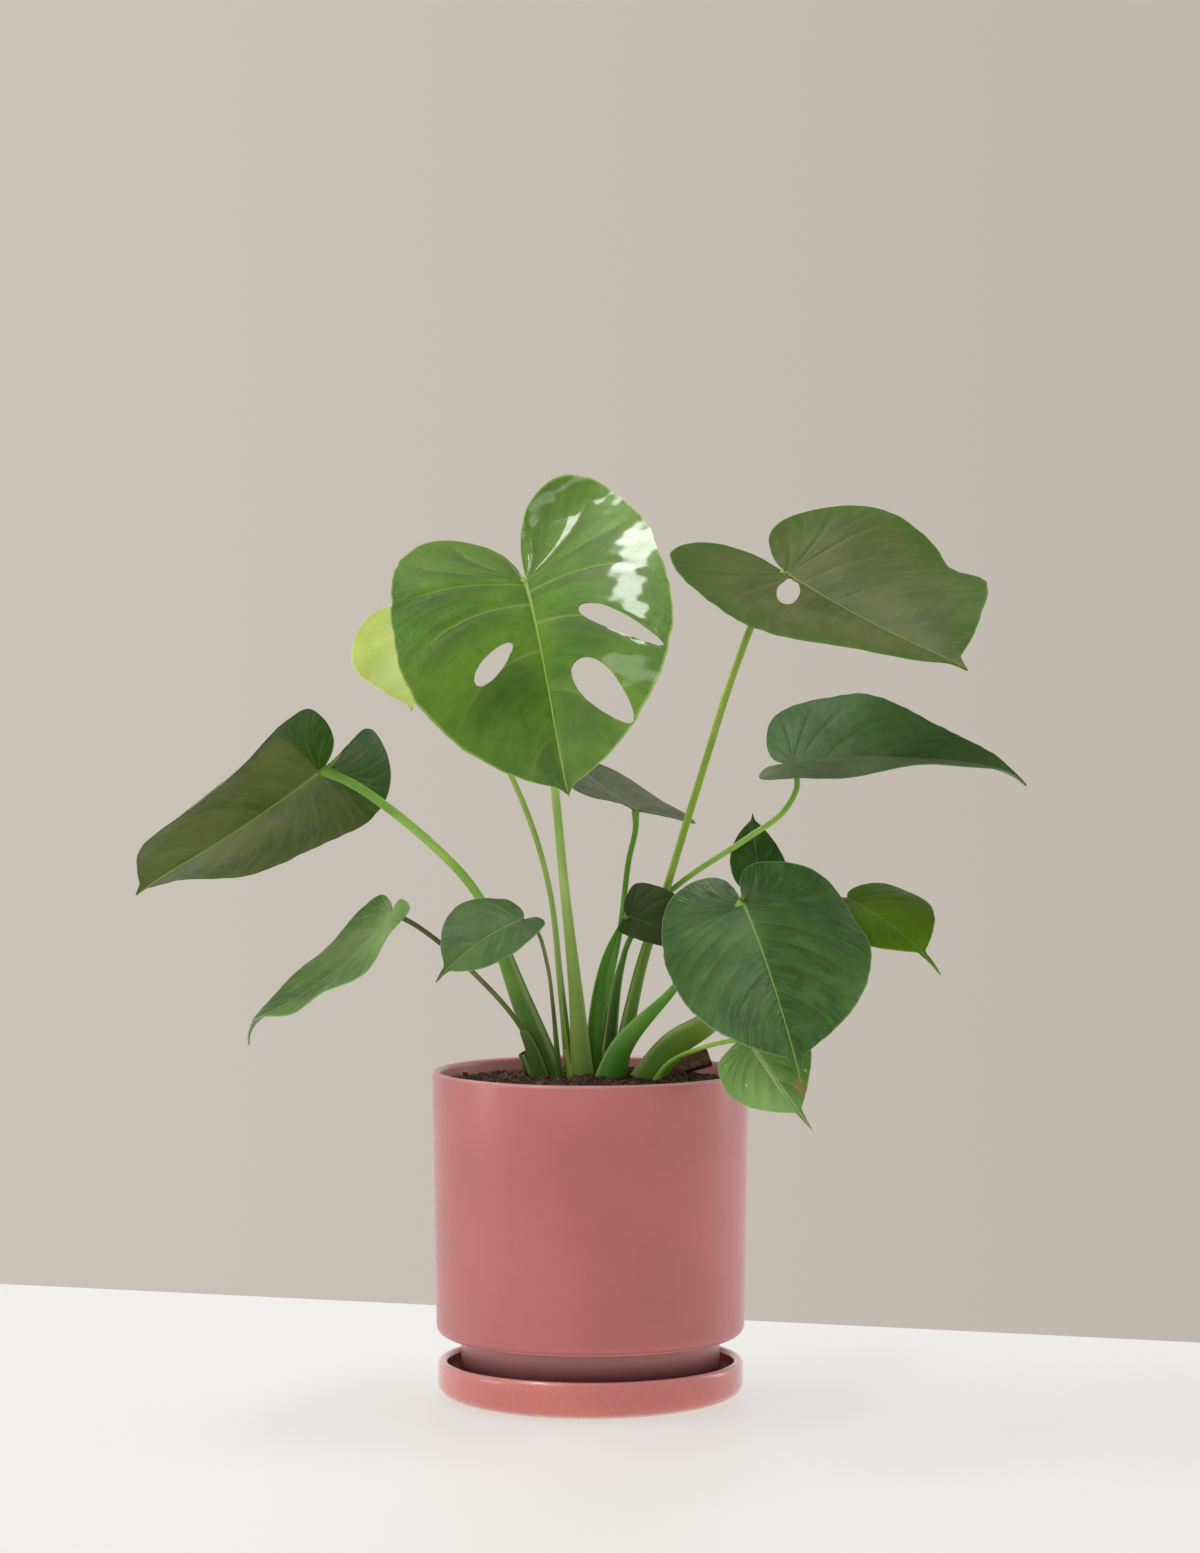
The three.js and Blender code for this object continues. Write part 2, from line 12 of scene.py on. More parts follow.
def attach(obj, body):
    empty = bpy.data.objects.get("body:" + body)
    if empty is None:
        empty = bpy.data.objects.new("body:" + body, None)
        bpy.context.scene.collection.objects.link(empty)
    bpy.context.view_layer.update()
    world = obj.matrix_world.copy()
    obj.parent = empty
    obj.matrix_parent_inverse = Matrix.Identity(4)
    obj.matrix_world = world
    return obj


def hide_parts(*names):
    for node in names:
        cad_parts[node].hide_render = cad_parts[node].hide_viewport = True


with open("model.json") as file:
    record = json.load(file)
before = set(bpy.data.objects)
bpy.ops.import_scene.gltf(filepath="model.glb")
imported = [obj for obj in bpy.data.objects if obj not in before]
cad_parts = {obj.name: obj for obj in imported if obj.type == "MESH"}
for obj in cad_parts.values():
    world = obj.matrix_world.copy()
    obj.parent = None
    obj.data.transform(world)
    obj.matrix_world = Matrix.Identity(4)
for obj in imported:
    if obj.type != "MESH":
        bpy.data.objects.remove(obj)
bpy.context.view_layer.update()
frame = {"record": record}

MM = 0.001
RIDES = "root"
rng = random.Random(7)

# ---------------------------------------------------------------- sizes, in millimetres

SAUCER_RADIUS = 86.8
SAUCER_HEIGHT = 22.0
SAUCER_FLOOR = 6.0
SAUCER_WALL = 5.6
SAUCER_FOOT = 70.0

POT_RADIUS = 90.0
POT_BASE = 87.5
POT_RIM = 186.0
POT_SHOULDER = 36.0
POT_FOOT = 73.5
POT_WALL = 5.0
POT_LIFT = 6.3           # underside of the pot's foot
POT_FLOOR = 13.3         # inside of the pot's floor
DRAIN = 9.0

SOIL_EDGE = 177.5
SOIL_CROWN = 183.0

ROUND_STEPS = 128        # around the pot and the saucer
STALK_ROWS = 96          # along a stalk
STALK_AROUND = 36        # around a stalk
TIP_START = 0.72         # share of the midrib where the tip's own bend begins
MAP_SCALE = 10 * MM      # from millimetres across a blade to its rib map
CRUMBS = 1500
FIBRES = 170

# ---------------------------------------------------------------- leaves
# at: joint with the stalk. aim, dip, roll: compass direction, slope and turn of the midrib, in degrees.
# size: length, half-widths right and left, lobe depths right and left, in millimetres.
# form: share of drip tip, share where widest, fullness.  cleft: how far out each lobe's inner edge turns.
# bend: arch, tip curl, twist, sway.  fold, droop, lift: right and left half.
# veins: side veins per half, relief in millimetres, midrib width in millimetres.
# wave: (height in mm, waves along the margin, phase) right and left.
# dent: (place along the margin, depth in mm, spread) of each dip or bulge of the left margin.
# holes: centre across and along, half-length, half-width, turn in degrees, and how much wider one end is.
# skin: palette name.
# Most values in LEAVES, and most route points in STALKS, are the rounded output of a least-squares fit
# and of a program that worked out places from it. They weren't chosen by hand.

LEAVES = {
    "front": dict(
        at=(-37, -25, 464), turn=(-80, 27, -24), size=(150, 81, 80, 41, 52), form=(0.04, 0.40, 1.15),
        bend=(56, 8, 1, 18), fold=(34, 19), droop=(17, 22), lift=(-4, -48),
        veins=(7, 0.65, 3.3), wave=((1.2, 2.5, 0.3), (1.8, 3.0, 1.0)), skin="fresh",
        holes=[(28, 72, 18, 5.5, 48, 0.15), (-50, 69, 31, 5.0, 137, -0.45), (-33, 101, 25, 9.5, 125, -0.3)]),
    "back_pale": dict(
        at=(-95, 50, 443), turn=(-101, 37, -11), size=(74, 44, 43, 17, 16), form=(0.08, 0.21, 1.0),
        bend=(18, 8, 1, -1), fold=(10, 10), droop=(23, 22), lift=(0, 0),
        veins=(6, 0.5, 1.4), wave=((0.8, 2.5, 0.3), (0.8, 2.0, 1.0)), skin="pale", holes=[]),
    "top_right": dict(
        at=(111, 20, 469), turn=(-42, 27, -26), size=(146, 79, 83, 42, 33), form=(0.08, 0.23, 1.18),
        bend=(-12, 8, 3, 0), fold=(19, 16), droop=(3, 28), lift=(-9, 2),
        dent=((0.60, -7.0, 0.05), (0.75, 5.0, 0.09)),
        veins=(7, 0.5, 2.2), wave=((1.5, 2.5, 0.3), (3.5, 3.0, 0.0)), skin="dusky",
        holes=[(18, 21, 22, 6.5, 38, 0.1)]),
    "right": dict(
        at=(113, 20, 360), turn=(-12, -8, -21), size=(140, 58, 59, 12, 14), form=(0.09, 0.25, 0.42),
        bend=(23, 34, 2, -2), fold=(20, 15), droop=(18, -3), lift=(0, 3),
        veins=(8, 0.3, 2.0), wave=((1.0, 3.0, 0.3), (1.2, 2.6, 0.9)), skin="deep", holes=[]),
    "left": dict(
        at=(-153, 10, 357), turn=(178, 37, -38), size=(130, 70, 71, 38, 20), form=(0.05, 0.22, 1.5),
        cleft=(0.0, 0.14), bend=(-11, 16, 17, 0), fold=(15, 17), droop=(22, 58), lift=(-48, -7),
        veins=(8, 0.5, 2.4), wave=((1.4, 3.5, 0.3), (1.2, 2.5, 1.5)), skin="olive", holes=[]),
    "left_narrow": dict(
        at=(-112, -30, 278), turn=(180, 53, 12), size=(113, 36, 36, 4, 11), form=(0.09, 0.27, 1.0),
        bend=(-35, 87, -3, 2), fold=(10, 8), droop=(-1, 25), lift=(2, -2),
        veins=(9, 0.25, 1.4), wave=((1.0, 3.0, 0.3), (2.6, 3.4, 0.2)), skin="silver", holes=[]),
    "left_small": dict(
        at=(-38, -55, 275), turn=(203, 18, 17), size=(61, 32, 31, 5, 5), form=(0.17, 0.25, 1.0),
        bend=(34, 5, 34, 1), fold=(12, 18), droop=(15, 11), lift=(2, -1),
        veins=(8, 0.35, 1.0), wave=((0.6, 2.0, 0.3), (0.8, 2.0, 1.0)), skin="slate", holes=[]),
    "back_centre": dict(
        at=(26, 60, 332), turn=(121, -18, -14), size=(97, 45, 45, 11, 11), form=(0.08, 0.21, 1.0),
        bend=(-4, 7, -1, 0), fold=(13, 13), droop=(22, 20), lift=(-7, 0),
        veins=(8, 0.5, 1.6), wave=((0.8, 2.5, 0.3), (0.8, 2.5, 1.0)), skin="leather", holes=[]),
    "centre_small": dict(
        at=(21, -5, 274), turn=(-17, 16, -50), size=(49, 12, 24, 2, 5), form=(0.08, 0.21, 1.0),
        bend=(19, 8, 1, 0), fold=(2, 15), droop=(17, 17), lift=(0, 1),
        veins=(7, 0.3, 0.9), wave=((0.4, 2.0, 0.3), (0.4, 2.0, 1.0)), skin="shade", holes=[]),
    "front_right": dict(
        at=(84, -70, 286), turn=(-76, 29, -13), size=(126, 54, 67, 35, 40), form=(0.12, 0.21, 1.12),
        cleft=(0.04, 0.10), bend=(40, 6, 1, 0), fold=(-13, -10), droop=(24, 21), lift=(-6, -7),
        veins=(13, 0.6, 2.8), wave=((0.9, 4.0, 0.3), (1.2, 4.0, 1.0)), skin="forest", holes=[]),
    "right_upright": dict(
        at=(98, 30, 291), turn=(96, -35, 174), size=(55, 17, 17, 7, 8), form=(0.09, 0.21, 1.0),
        bend=(17, 8, 1, 1), fold=(9, 9), droop=(23, 22), lift=(0, 0),
        veins=(7, 0.3, 0.6), wave=((0.4, 2.0, 0.3), (0.4, 2.0, 1.0)), skin="upright", holes=[]),
    "right_low": dict(
        at=(146, -15, 284), turn=(-56, 13, -16), size=(86, 33, 34, 10, 10), form=(0.22, 0.22, 1.0),
        bend=(27, 8, -4, 0), fold=(10, 7), droop=(22, 22), lift=(0, 7),
        veins=(7, 0.4, 1.2), wave=((0.5, 2.0, 0.3), (0.6, 2.0, 1.0)), skin="lime", holes=[]),
    "over_rim": dict(
        at=(88, -75, 210), turn=(-61, 36, -48), size=(69, 28, 28, 5, 5), form=(0.22, 0.21, 0.86),
        bend=(24, 9, 1, -1), fold=(0, 0), droop=(26, 24), lift=(0, 0),
        veins=(10, 0.35, 1.1), wave=((0.6, 2.0, 0.3), (0.6, 2.0, 1.0)), skin="speckled", holes=[]),
}

# route: points that the stalk passes through, up to the leaf joint.
# top: radius of the even stalk. sheath: half-width at the soil. reach: length of the sheath.
# ease: below 1 the sheath ends abruptly, above 1 it dies away. tone: palette.

STALKS = {
    "front": dict(
        route=[(-5, -1, 172), (-8, -6, 226), (-15, -13, 295), (-21, -20, 357), (-28, -25, 405)],
        top=2.5, sheath=8.0, reach=220, ease=3.0, tone="fresh"),
    "back_pale": dict(
        route=[(-11, 9, 172), (-17, 14, 233), (-23, 24, 285), (-35, 32, 327), (-60, 44, 380),
               (-82, 50, 412)],
        top=1.8, sheath=3.6, reach=110, ease=1.5, tone="fresh"),
    "top_right": dict(
        route=[(14, 10, 172), (28, 12, 242), (41, 14, 283), (62, 16, 350), (82, 18, 413), (100, 20, 456)],
        top=2.4, sheath=6.5, reach=190, ease=1.6, tone="lime"),
    "right": dict(
        route=[(9, 21, 172), (17, 18, 244), (28, 17, 269), (52, 17, 292), (91, 19, 318), (110, 20, 332),
               (118, 20, 348)],
        top=1.9, sheath=5.5, reach=80, ease=0.5, tone="leafy"),
    "left": dict(
        route=[(-20, 4, 172), (-38, 3, 222), (-63, 5, 284), (-91, 7, 315), (-131, 9, 346)],
        top=2.9, sheath=9.6, reach=118, ease=0.60, tone="leafy"),
    "left_narrow": dict(
        route=[(-26, -3, 172), (-38, -9, 209), (-68, -19, 245), (-96, -28, 269)],
        top=1.6, sheath=5.5, reach=40, ease=0.35, tone="brown"),
    "left_small": dict(
        route=[(-17, -10, 172), (-21, -30, 225), (-24, -42, 249), (-30, -52, 269)],
        top=1.1, sheath=2.6, reach=60, ease=1.2, tone="brown"),
    "back_centre": dict(
        route=[(2, 21, 172), (9, 26, 224), (17, 40, 263), (22, 53, 302), (26, 59, 320)],
        top=1.7, sheath=4.0, reach=90, ease=1.0, tone="dark"),
    "centre_small": dict(
        route=[(2, 8, 172), (4, 4, 222), (9, -1, 249), (16, -4, 266)],
        top=1.4, sheath=5.8, reach=98, ease=0.6, tone="dark"),
    "front_right": dict(
        route=[(9, -8, 172), (19, -18, 202), (46, -40, 235), (64, -57, 258), (77, -68, 276)],
        top=2.2, sheath=9.5, reach=85, ease=0.9, tone="bright"),
    "right_upright": dict(
        route=[(28, 10, 172), (47, 12, 199), (65, 16, 215), (83, 24, 244), (93, 29, 272)],
        top=1.5, sheath=3.5, reach=40, ease=0.7, tone="dark"),
    "right_low": dict(
        route=[(27, -3, 172), (46, -3, 199), (66, -5, 213), (96, -9, 241), (127, -13, 271)],
        top=1.8, sheath=10.8, reach=112, ease=0.45, tone="olive"),
    "over_rim": dict(
        route=[(32, -12, 172), (44, -24, 192), (60, -43, 202), (79, -67, 209)],
        top=1.4, sheath=2.4, reach=40, ease=1.0, tone="spring"),
}

# old and new sheaths at the crown: the CAD node, and a stalk that ends in the air
STUBS = {
    "cut_sheath_stub": ("cut_sheath", dict(
        route=[(-29, 5, 172), (-33, 4, 188), (-37, 3, 196)],
        top=3.0, sheath=4.6, reach=60, ease=1.0, tone="dark")),
    "bud_sheath_tip": ("bud_sheath", dict(
        route=[(-10, -13, 172), (-12, -14, 188), (-14, -14, 199)],
        top=0.6, sheath=3.2, reach=30, ease=0.8, tone="olive")),
}


# ---------------------------------------------------------------- small tools

def deselect():
    bpy.ops.object.select_all(action="DESELECT")


def make_active(obj):
    deselect()
    obj.select_set(True)
    bpy.context.view_layer.objects.active = obj


def settle(obj, name, materials, smooth_angle=None):
    """Names a finished piece, brings its place into its mesh and gives it its finishes."""
    make_active(obj)
    bpy.ops.object.transform_apply(location=True, rotation=True, scale=True)
    obj.name = name
    obj.data.name = name
    obj.data.materials.clear()
    for material in materials:
        obj.data.materials.append(material)
    if smooth_angle is None:
        bpy.ops.object.shade_smooth()
    else:
        bpy.ops.object.shade_smooth_by_angle(angle=math.radians(smooth_angle))
    return obj


def add_modifier(obj, kind, **values):
    """Adds a modifier, sets it and applies it at once."""
    make_active(obj)
    modifier = obj.modifiers.new(kind.lower(), kind)
    for key, value in values.items():
        setattr(modifier, key, value)
    bpy.ops.object.modifier_apply(modifier=modifier.name)


def add_object(name, data):
    obj = bpy.data.objects.new(name, data)
    bpy.context.scene.collection.objects.link(obj)
    return obj


def grid_piece(columns, rows):
    """A flat grid from -1 to 1 both ways, its mesh and the places of its points."""
    deselect()
    bpy.ops.mesh.primitive_grid_add(x_subdivisions=columns, y_subdivisions=rows, size=2)
    obj = bpy.context.object
    grid = np.empty(len(obj.data.vertices) * 3, np.float64)
    obj.data.vertices.foreach_get("co", grid)
    return obj, obj.data, grid.reshape(-1, 3)


def map_ribs(mesh, across, along, mask, values):
    """Gives the mesh its rib map and one mask, both for its finish."""
    layer = mesh.uv_layers.active
    layer.name = "ribs"
    corners = np.empty(len(mesh.loops), np.int32)
    mesh.loops.foreach_get("vertex_index", corners)
    layer.data.foreach_set("uv", np.stack([across[corners], along[corners]], -1).ravel())
    mesh.attributes.new(mask, "FLOAT", "POINT").data.foreach_set("value", values)


def hold(obj, slot, *nodes):
    """The piece rides on the body and stands for its CAD nodes. Its slot is not used."""
    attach(obj, RIDES)
    if nodes:
        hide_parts(*nodes)
    return obj


def smoothstep(low, high, x):
    t = np.clip((x - low) / (high - low), 0, 1)
    return t * t * (3 - 2 * t)


# ---------------------------------------------------------------- shader tools

def linear(hex_colour):
    parts = [int(hex_colour[i:i + 2], 16) / 255 for i in (0, 2, 4)]
    return tuple(c / 12.92 if c <= 0.04045 else ((c + 0.055) / 1.055) ** 2.4 for c in parts) + (1.0,)


class Nodes:
    """Short ways to add and join nodes in one tree."""

    def __init__(self, tree):
        self.tree = tree

    def add(self, kind, **values):
        node = self.tree.nodes.new(kind)
        for key, value in values.items():
            setattr(node, key, value)
        return node

    def join(self, source, target):
        self.tree.links.new(source, target)

    def feed(self, socket, value):
        if isinstance(value, bpy.types.NodeSocket):
            self.join(value, socket)
        else:
            socket.default_value = value

    def math(self, operation, a, b=0.0, c=0.0):
        node = self.add("ShaderNodeMath", operation=operation)
        for socket, value in zip(node.inputs, (a, b, c)):
            self.feed(socket, value)
        return node.outputs[0]

    def times(self, a, b):
        return self.math("MULTIPLY", a, b)

    def mix(self, factor, a, b):
        node = self.add("ShaderNodeMix", data_type="RGBA")
        self.feed(node.inputs[0], factor)
        self.feed(node.inputs[6], a)
        self.feed(node.inputs[7], b)
        return node.outputs[2]

    def paint(self, body, mask, strength, colour):
        """Lays a colour over the body where the mask shows."""
        return self.mix(self.times(mask, strength), body, colour)

    def split(self, vector):
        node = self.add("ShaderNodeSeparateXYZ")
        self.join(vector, node.inputs[0])
        return node.outputs

    def gather(self, *parts):
        node = self.add("ShaderNodeCombineXYZ")
        for part, socket in zip(parts, node.inputs):
            self.join(part, socket)
        return node.outputs[0]

    def noise(self, vector, scale, detail=3.0, roughness=0.55, distortion=0.0):
        node = self.add("ShaderNodeTexNoise")
        self.join(vector, node.inputs["Vector"])
        node.inputs["Scale"].default_value = scale
        node.inputs["Detail"].default_value = detail
        node.inputs["Roughness"].default_value = roughness
        node.inputs["Distortion"].default_value = distortion
        return node.outputs["Fac"]

    def range(self, value, low, high, to_low=0.0, to_high=1.0, smooth=True):
        node = self.add("ShaderNodeMapRange")
        node.interpolation_type = "SMOOTHSTEP" if smooth else "LINEAR"
        for name, number in (("From Min", low), ("From Max", high), ("To Min", to_low), ("To Max", to_high)):
            self.feed(node.inputs[name], number)
        self.feed(node.inputs["Value"], value)
        return node.outputs["Result"]

    def object_place(self):
        return self.add("ShaderNodeTexCoord").outputs["Object"]

    def bump(self, height, strength, distance):
        node = self.add("ShaderNodeBump")
        node.inputs["Strength"].default_value = strength
        node.inputs["Distance"].default_value = distance
        self.join(height, node.inputs["Height"])
        return node.outputs["Normal"]


def new_material(name):
    material = bpy.data.materials.new(name)
    material.use_nodes = True
    tree = material.node_tree
    for node in list(tree.nodes):
        tree.nodes.remove(node)
    n = Nodes(tree)
    output = n.add("ShaderNodeOutputMaterial")
    shader = n.add("ShaderNodeBsdfPrincipled")
    n.join(shader.outputs[0], output.inputs["Surface"])
    return material, n, shader, output


def new_group(name, inputs, outputs):
    group = bpy.data.node_groups.new(name, "ShaderNodeTree")
    for label, kind, value in inputs:
        socket = group.interface.new_socket(label, in_out="INPUT", socket_type=kind)
        socket.default_value = value
    for label, kind in outputs:
        group.interface.new_socket(label, in_out="OUTPUT", socket_type=kind)
    n = Nodes(group)
    return group, n, n.add("NodeGroupInput").outputs, n.add("NodeGroupOutput").inputs


def use_group(n, group, **values):
    node = n.add("ShaderNodeGroup", node_tree=group)
    for label, value in values.items():
        n.feed(node.inputs[label.replace("_", " ")], value)
    return node.outputs


FLOAT = "NodeSocketFloat"


def leaf_pattern_group():
    """Masks of a blade, from its own rib map: veins, their soft halo, midrib, streaks, margin and lobes, and
    painted shade behind each side vein.
    """
    group, n, given, result = new_group(
        "blade_pattern",
        [("Veins", FLOAT, 8.0), ("Vein Width", FLOAT, 0.03),
         ("Midrib", FLOAT, 0.01), ("Streaks", FLOAT, 60.0)],
        [("Veins", FLOAT), ("Halo", FLOAT), ("Midrib", FLOAT), ("Streaks", FLOAT), ("Margin", FLOAT),
         ("Share", FLOAT), ("Along", FLOAT), ("Across", FLOAT), ("Vein Shade", FLOAT)])
    across, along, _ = n.split(n.add("ShaderNodeUVMap", uv_map="ribs").outputs[0])
    share = n.add("ShaderNodeAttribute", attribute_name="share").outputs["Fac"]
    left = n.math("LESS_THAN", across, 0.0)
    wobble = n.noise(n.object_place(), 30.0, detail=2.0)
    drift = n.times(n.times(n.math("SUBTRACT", wobble, 0.5), 0.03), share)
    bent = n.math("ADD", along, drift)
    phase = n.math("ADD", n.times(bent, given["Veins"]), n.times(left, 0.5))
    gap = n.math("ABSOLUTE", n.math("SUBTRACT", n.math("FRACT", phase), 0.5))
    fade = n.range(share, 0.45, 0.95, 1.0, 0.0)
    narrow = n.times(given["Vein Width"], n.range(share, 0.0, 0.25, 2.2, 1.0))
    line = n.range(n.math("DIVIDE", gap, narrow), 0.4, 1.0, 1.0, 0.0)
    fade = n.times(fade, n.range(along, 0.45, 0.95, 1.0, 0.25))
    n.join(n.times(line, fade), result["Veins"])
    soft = n.range(gap, 0.0, 0.20, 1.0, 0.0)
    n.join(n.times(soft, fade), result["Halo"])
    # painted shade: a dark band just behind each side vein, as if light fell on the blade from one side
    behind = n.range(n.math("FRACT", n.math("ADD", phase, 0.5)), 0.02, 0.75, 1.0, 0.0)
    inner = n.times(n.range(share, 0.04, 0.25), n.range(share, 0.55, 1.0, 1.0, 0.0))
    n.join(n.times(behind, inner), result["Vein Shade"])
    taper = n.times(given["Midrib"], n.range(along, 0.15, 0.95, 1.0, 0.25))
    beside = n.math("DIVIDE", n.math("ABSOLUTE", across), taper)
    n.join(n.range(beside, 0.6, 1.0, 1.0, 0.0), result["Midrib"])
    stripes = n.gather(n.times(bent, given["Streaks"]), n.times(share, 2.6), left)
    n.join(n.noise(stripes, 1.0, detail=4.0, roughness=0.6), result["Streaks"])
    n.join(n.range(share, 0.978, 0.995), result["Margin"])
    n.join(share, result["Share"])
    n.join(along, result["Along"])
    n.join(across, result["Across"])
    return group


BLADE_PATTERN = leaf_pattern_group()

# dark, light: body. tint: lobes and rim. vein, rib, edge: lines. Then how far each one shows:
# lobes (tint in the lobes), rim (tint near the margin), veins, painted shade behind each side vein
# (vein_shade), streaks;
# and roughness, gloss, coat and crinkle height. near: a greyer painted sheen on the right half.
PLAIN_SKIN = dict(lobes=0.2, rim=0.2, gloss=0.22, coat=0.0)
SKINS = {
    "fresh": dict(dark="477218", light="6e9626", tint="66802a", vein="a5bb58", rib="a9c45c", edge="a7bf62",
                  lobes=0.35, rim=0.0, veins=0.50, vein_shade=0.50, streaks=0.40,
                  rough=0.46, gloss=0.2, coat=0.60, crinkle=0.4),
    "pale": dict(dark="9eb04a", light="bccb68", tint="abbb58", vein="c8d47e", rib="c9d57e", edge="dae49c",
                 veins=0.35, streaks=0.20, rough=0.46, crinkle=0.25),
    "dusky": dict(dark="525e30", light="6c7440", tint="476d1c", vein="7c8452", rib="8a9a4e", edge="5f8a34",
                  lobes=0.35, rim=0.80, veins=0.30, streaks=0.45, rough=0.55, crinkle=0.25),
    "deep": dict(dark="34581c", light="557a38", tint="3f6a22", vein="67824c", rib="7c9a58", edge="5f8050",
                 near="8b9a6c", lobes=0.3, rim=0.2, veins=0.20, streaks=0.50, rough=0.50, crinkle=0.35),
    "forest": dict(dark="2b4e18", light="628b47", tint="3b611c", vein="7c9f54", rib="8fb456", edge="8cab72",
                   lobes=0.3, rim=0.35, veins=0.50, vein_shade=0.50, streaks=0.50,
                   rough=0.42, gloss=0.34, crinkle=0.6),
    "olive": dict(dark="4c5a22", light="6e7a38", tint="275c0c", vein="7f8a48", rib="8fb052", edge="3c5420",
                  lobes=1.0, rim=0.30, veins=0.18, streaks=0.45, rough=0.50, crinkle=0.25),
    "silver": dict(dark="55783a", light="8aa664", tint="64884a", vein="a3ba80", rib="b0c688", edge="a3bc80",
                   veins=0.40, streaks=0.70, rough=0.44, crinkle=0.35),
    "slate": dict(dark="3f5e2c", light="5e7a3e", tint="4a6c32", vein="6f8e50", rib="8aa562", edge="7ba05e",
                  veins=0.30, streaks=0.45, rough=0.48, crinkle=0.3),
    "shade": dict(dark="33421c", light="4a5a2c", tint="384a1c", vein="555f42", rib="5f6a4a", edge="4f6340",
                  lobes=0.3, rim=0.3, veins=0.15, streaks=0.30, rough=0.55, crinkle=0.25),
    "leather": dict(dark="575e42", light="6c7254", tint="5c6840", vein="7f8568", rib="8f9a6a",
                    edge="6f7a52", lobes=0.3, rim=0.3, veins=0.35, streaks=0.30, rough=0.55, crinkle=0.25),
    "upright": dict(dark="213f06", light="385f10", tint="2c4e0a", vein="48682c", rib="3f6a1c",
                    edge="4f7a2c", lobes=0.3, rim=0.3, veins=0.10, streaks=0.30, rough=0.50, crinkle=0.2),
    "lime": dict(dark="4e720c", light="6e9018", tint="5c820e", vein="7c9a30", rib="8fae3a", edge="8fae3a",
                 lobes=0.2, rim=0.3, veins=0.35, streaks=0.25, rough=0.42, crinkle=0.2),
    "speckled": dict(dark="5f9038", light="94bc68", tint="78a64e", vein="b3cc8c", rib="d8e4b4",
                     edge="b3cc8c", veins=0.40, vein_shade=0.3, streaks=0.55,
                     rough=0.36, gloss=0.4, crinkle=0.35),
}


def speckled_marks(n, pattern, cloud, body):
    """A cream streak on the right of the midrib and a dry brown scar near the left margin."""
    across, along = pattern["Across"], pattern["Along"]
    ragged = n.math("ADD", across, n.times(cloud, 0.012))
    beside = n.times(n.range(ragged, 0.010, 0.018), n.range(ragged, 0.020, 0.034, 1.0, 0.0))
    beside = n.times(beside, n.range(along, 0.50, 0.60))
    beside = n.times(beside, n.range(along, 0.78, 0.90, 1.0, 0.0))
    body = n.paint(body, beside, 0.8, linear("dbe2b4"))
    away = n.math("ABSOLUTE", n.math("SUBTRACT", along, 0.78))
    away = n.math("ADD", away, n.times(cloud, 0.02))
    scar = n.times(n.range(away, 0.020, 0.045, 1.0, 0.0), n.range(pattern["Share"], 0.60, 0.78))
    scar = n.times(scar, n.math("LESS_THAN", across, 0.0))
    return n.paint(body, scar, 0.85, linear("b08a58"))


def leaf_colour(n, pattern, place, skin, under):
    """Clouded green, then tint, painted sheen, streaks, painted shade behind the side veins, veins and
    margin laid over it.
    """
    look = PLAIN_SKIN | SKINS[skin]
    colour = {key: linear(value) for key, value in look.items() if isinstance(value, str)}
    cloud = n.range(n.noise(place, 24.0, detail=4.0), 0.30, 0.70)
    fine = n.range(n.noise(place, 170.0, detail=3.0), 0.35, 0.65)
    body = n.mix(cloud, colour["dark"], colour["light"])
    reach = n.math("ADD", pattern["Along"], n.times(cloud, 0.05))
    lobes = n.range(reach, 0.36, 0.46, look["lobes"], 0.0)
    rim = n.range(pattern["Share"], 0.45, 1.0, 0.0, look["rim"])
    body = n.mix(n.math("MAXIMUM", lobes, rim), body, colour["tint"])
    # painted sheen: the right half, the one towards the viewer, is greyed as if it reflected the room
    if "near" in look:
        right = n.math("GREATER_THAN", pattern["Across"], 0.0)
        body = n.paint(body, right, 0.6, colour["near"])
    streak = n.range(pattern["Streaks"], 0.44, 0.62)
    body = n.paint(body, streak, look["streaks"], colour["light"])
    body = n.paint(body, fine, 0.22, colour["dark"])
    if under:
        body = n.mix(0.12, body, linear("6f7a46"))
    # painted shade behind each side vein
    if "vein_shade" in look:
        body = n.paint(body, pattern["Vein Shade"], look["vein_shade"], linear("3a5218"))
    veins_show = look["veins"] * (1.2 if under else 1.0)
    for mask, strength, key in (("Halo", veins_show * 0.18, "vein"), ("Veins", min(veins_show, 0.9), "vein"),
                                ("Midrib", 0.9, "rib"), ("Margin", 0.7, "edge")):
        body = n.paint(body, pattern[mask], strength, colour[key])
    if skin == "speckled":
        dots = n.add("ShaderNodeTexVoronoi")
        n.join(place, dots.inputs["Vector"])
        dots.inputs["Scale"].default_value = 130.0
        body = n.mix(n.range(dots.outputs["Distance"], 0.07, 0.12, 0.8, 0.0), body, linear("dfe7c8"))
        body = speckled_marks(n, pattern, cloud, body)
    return body


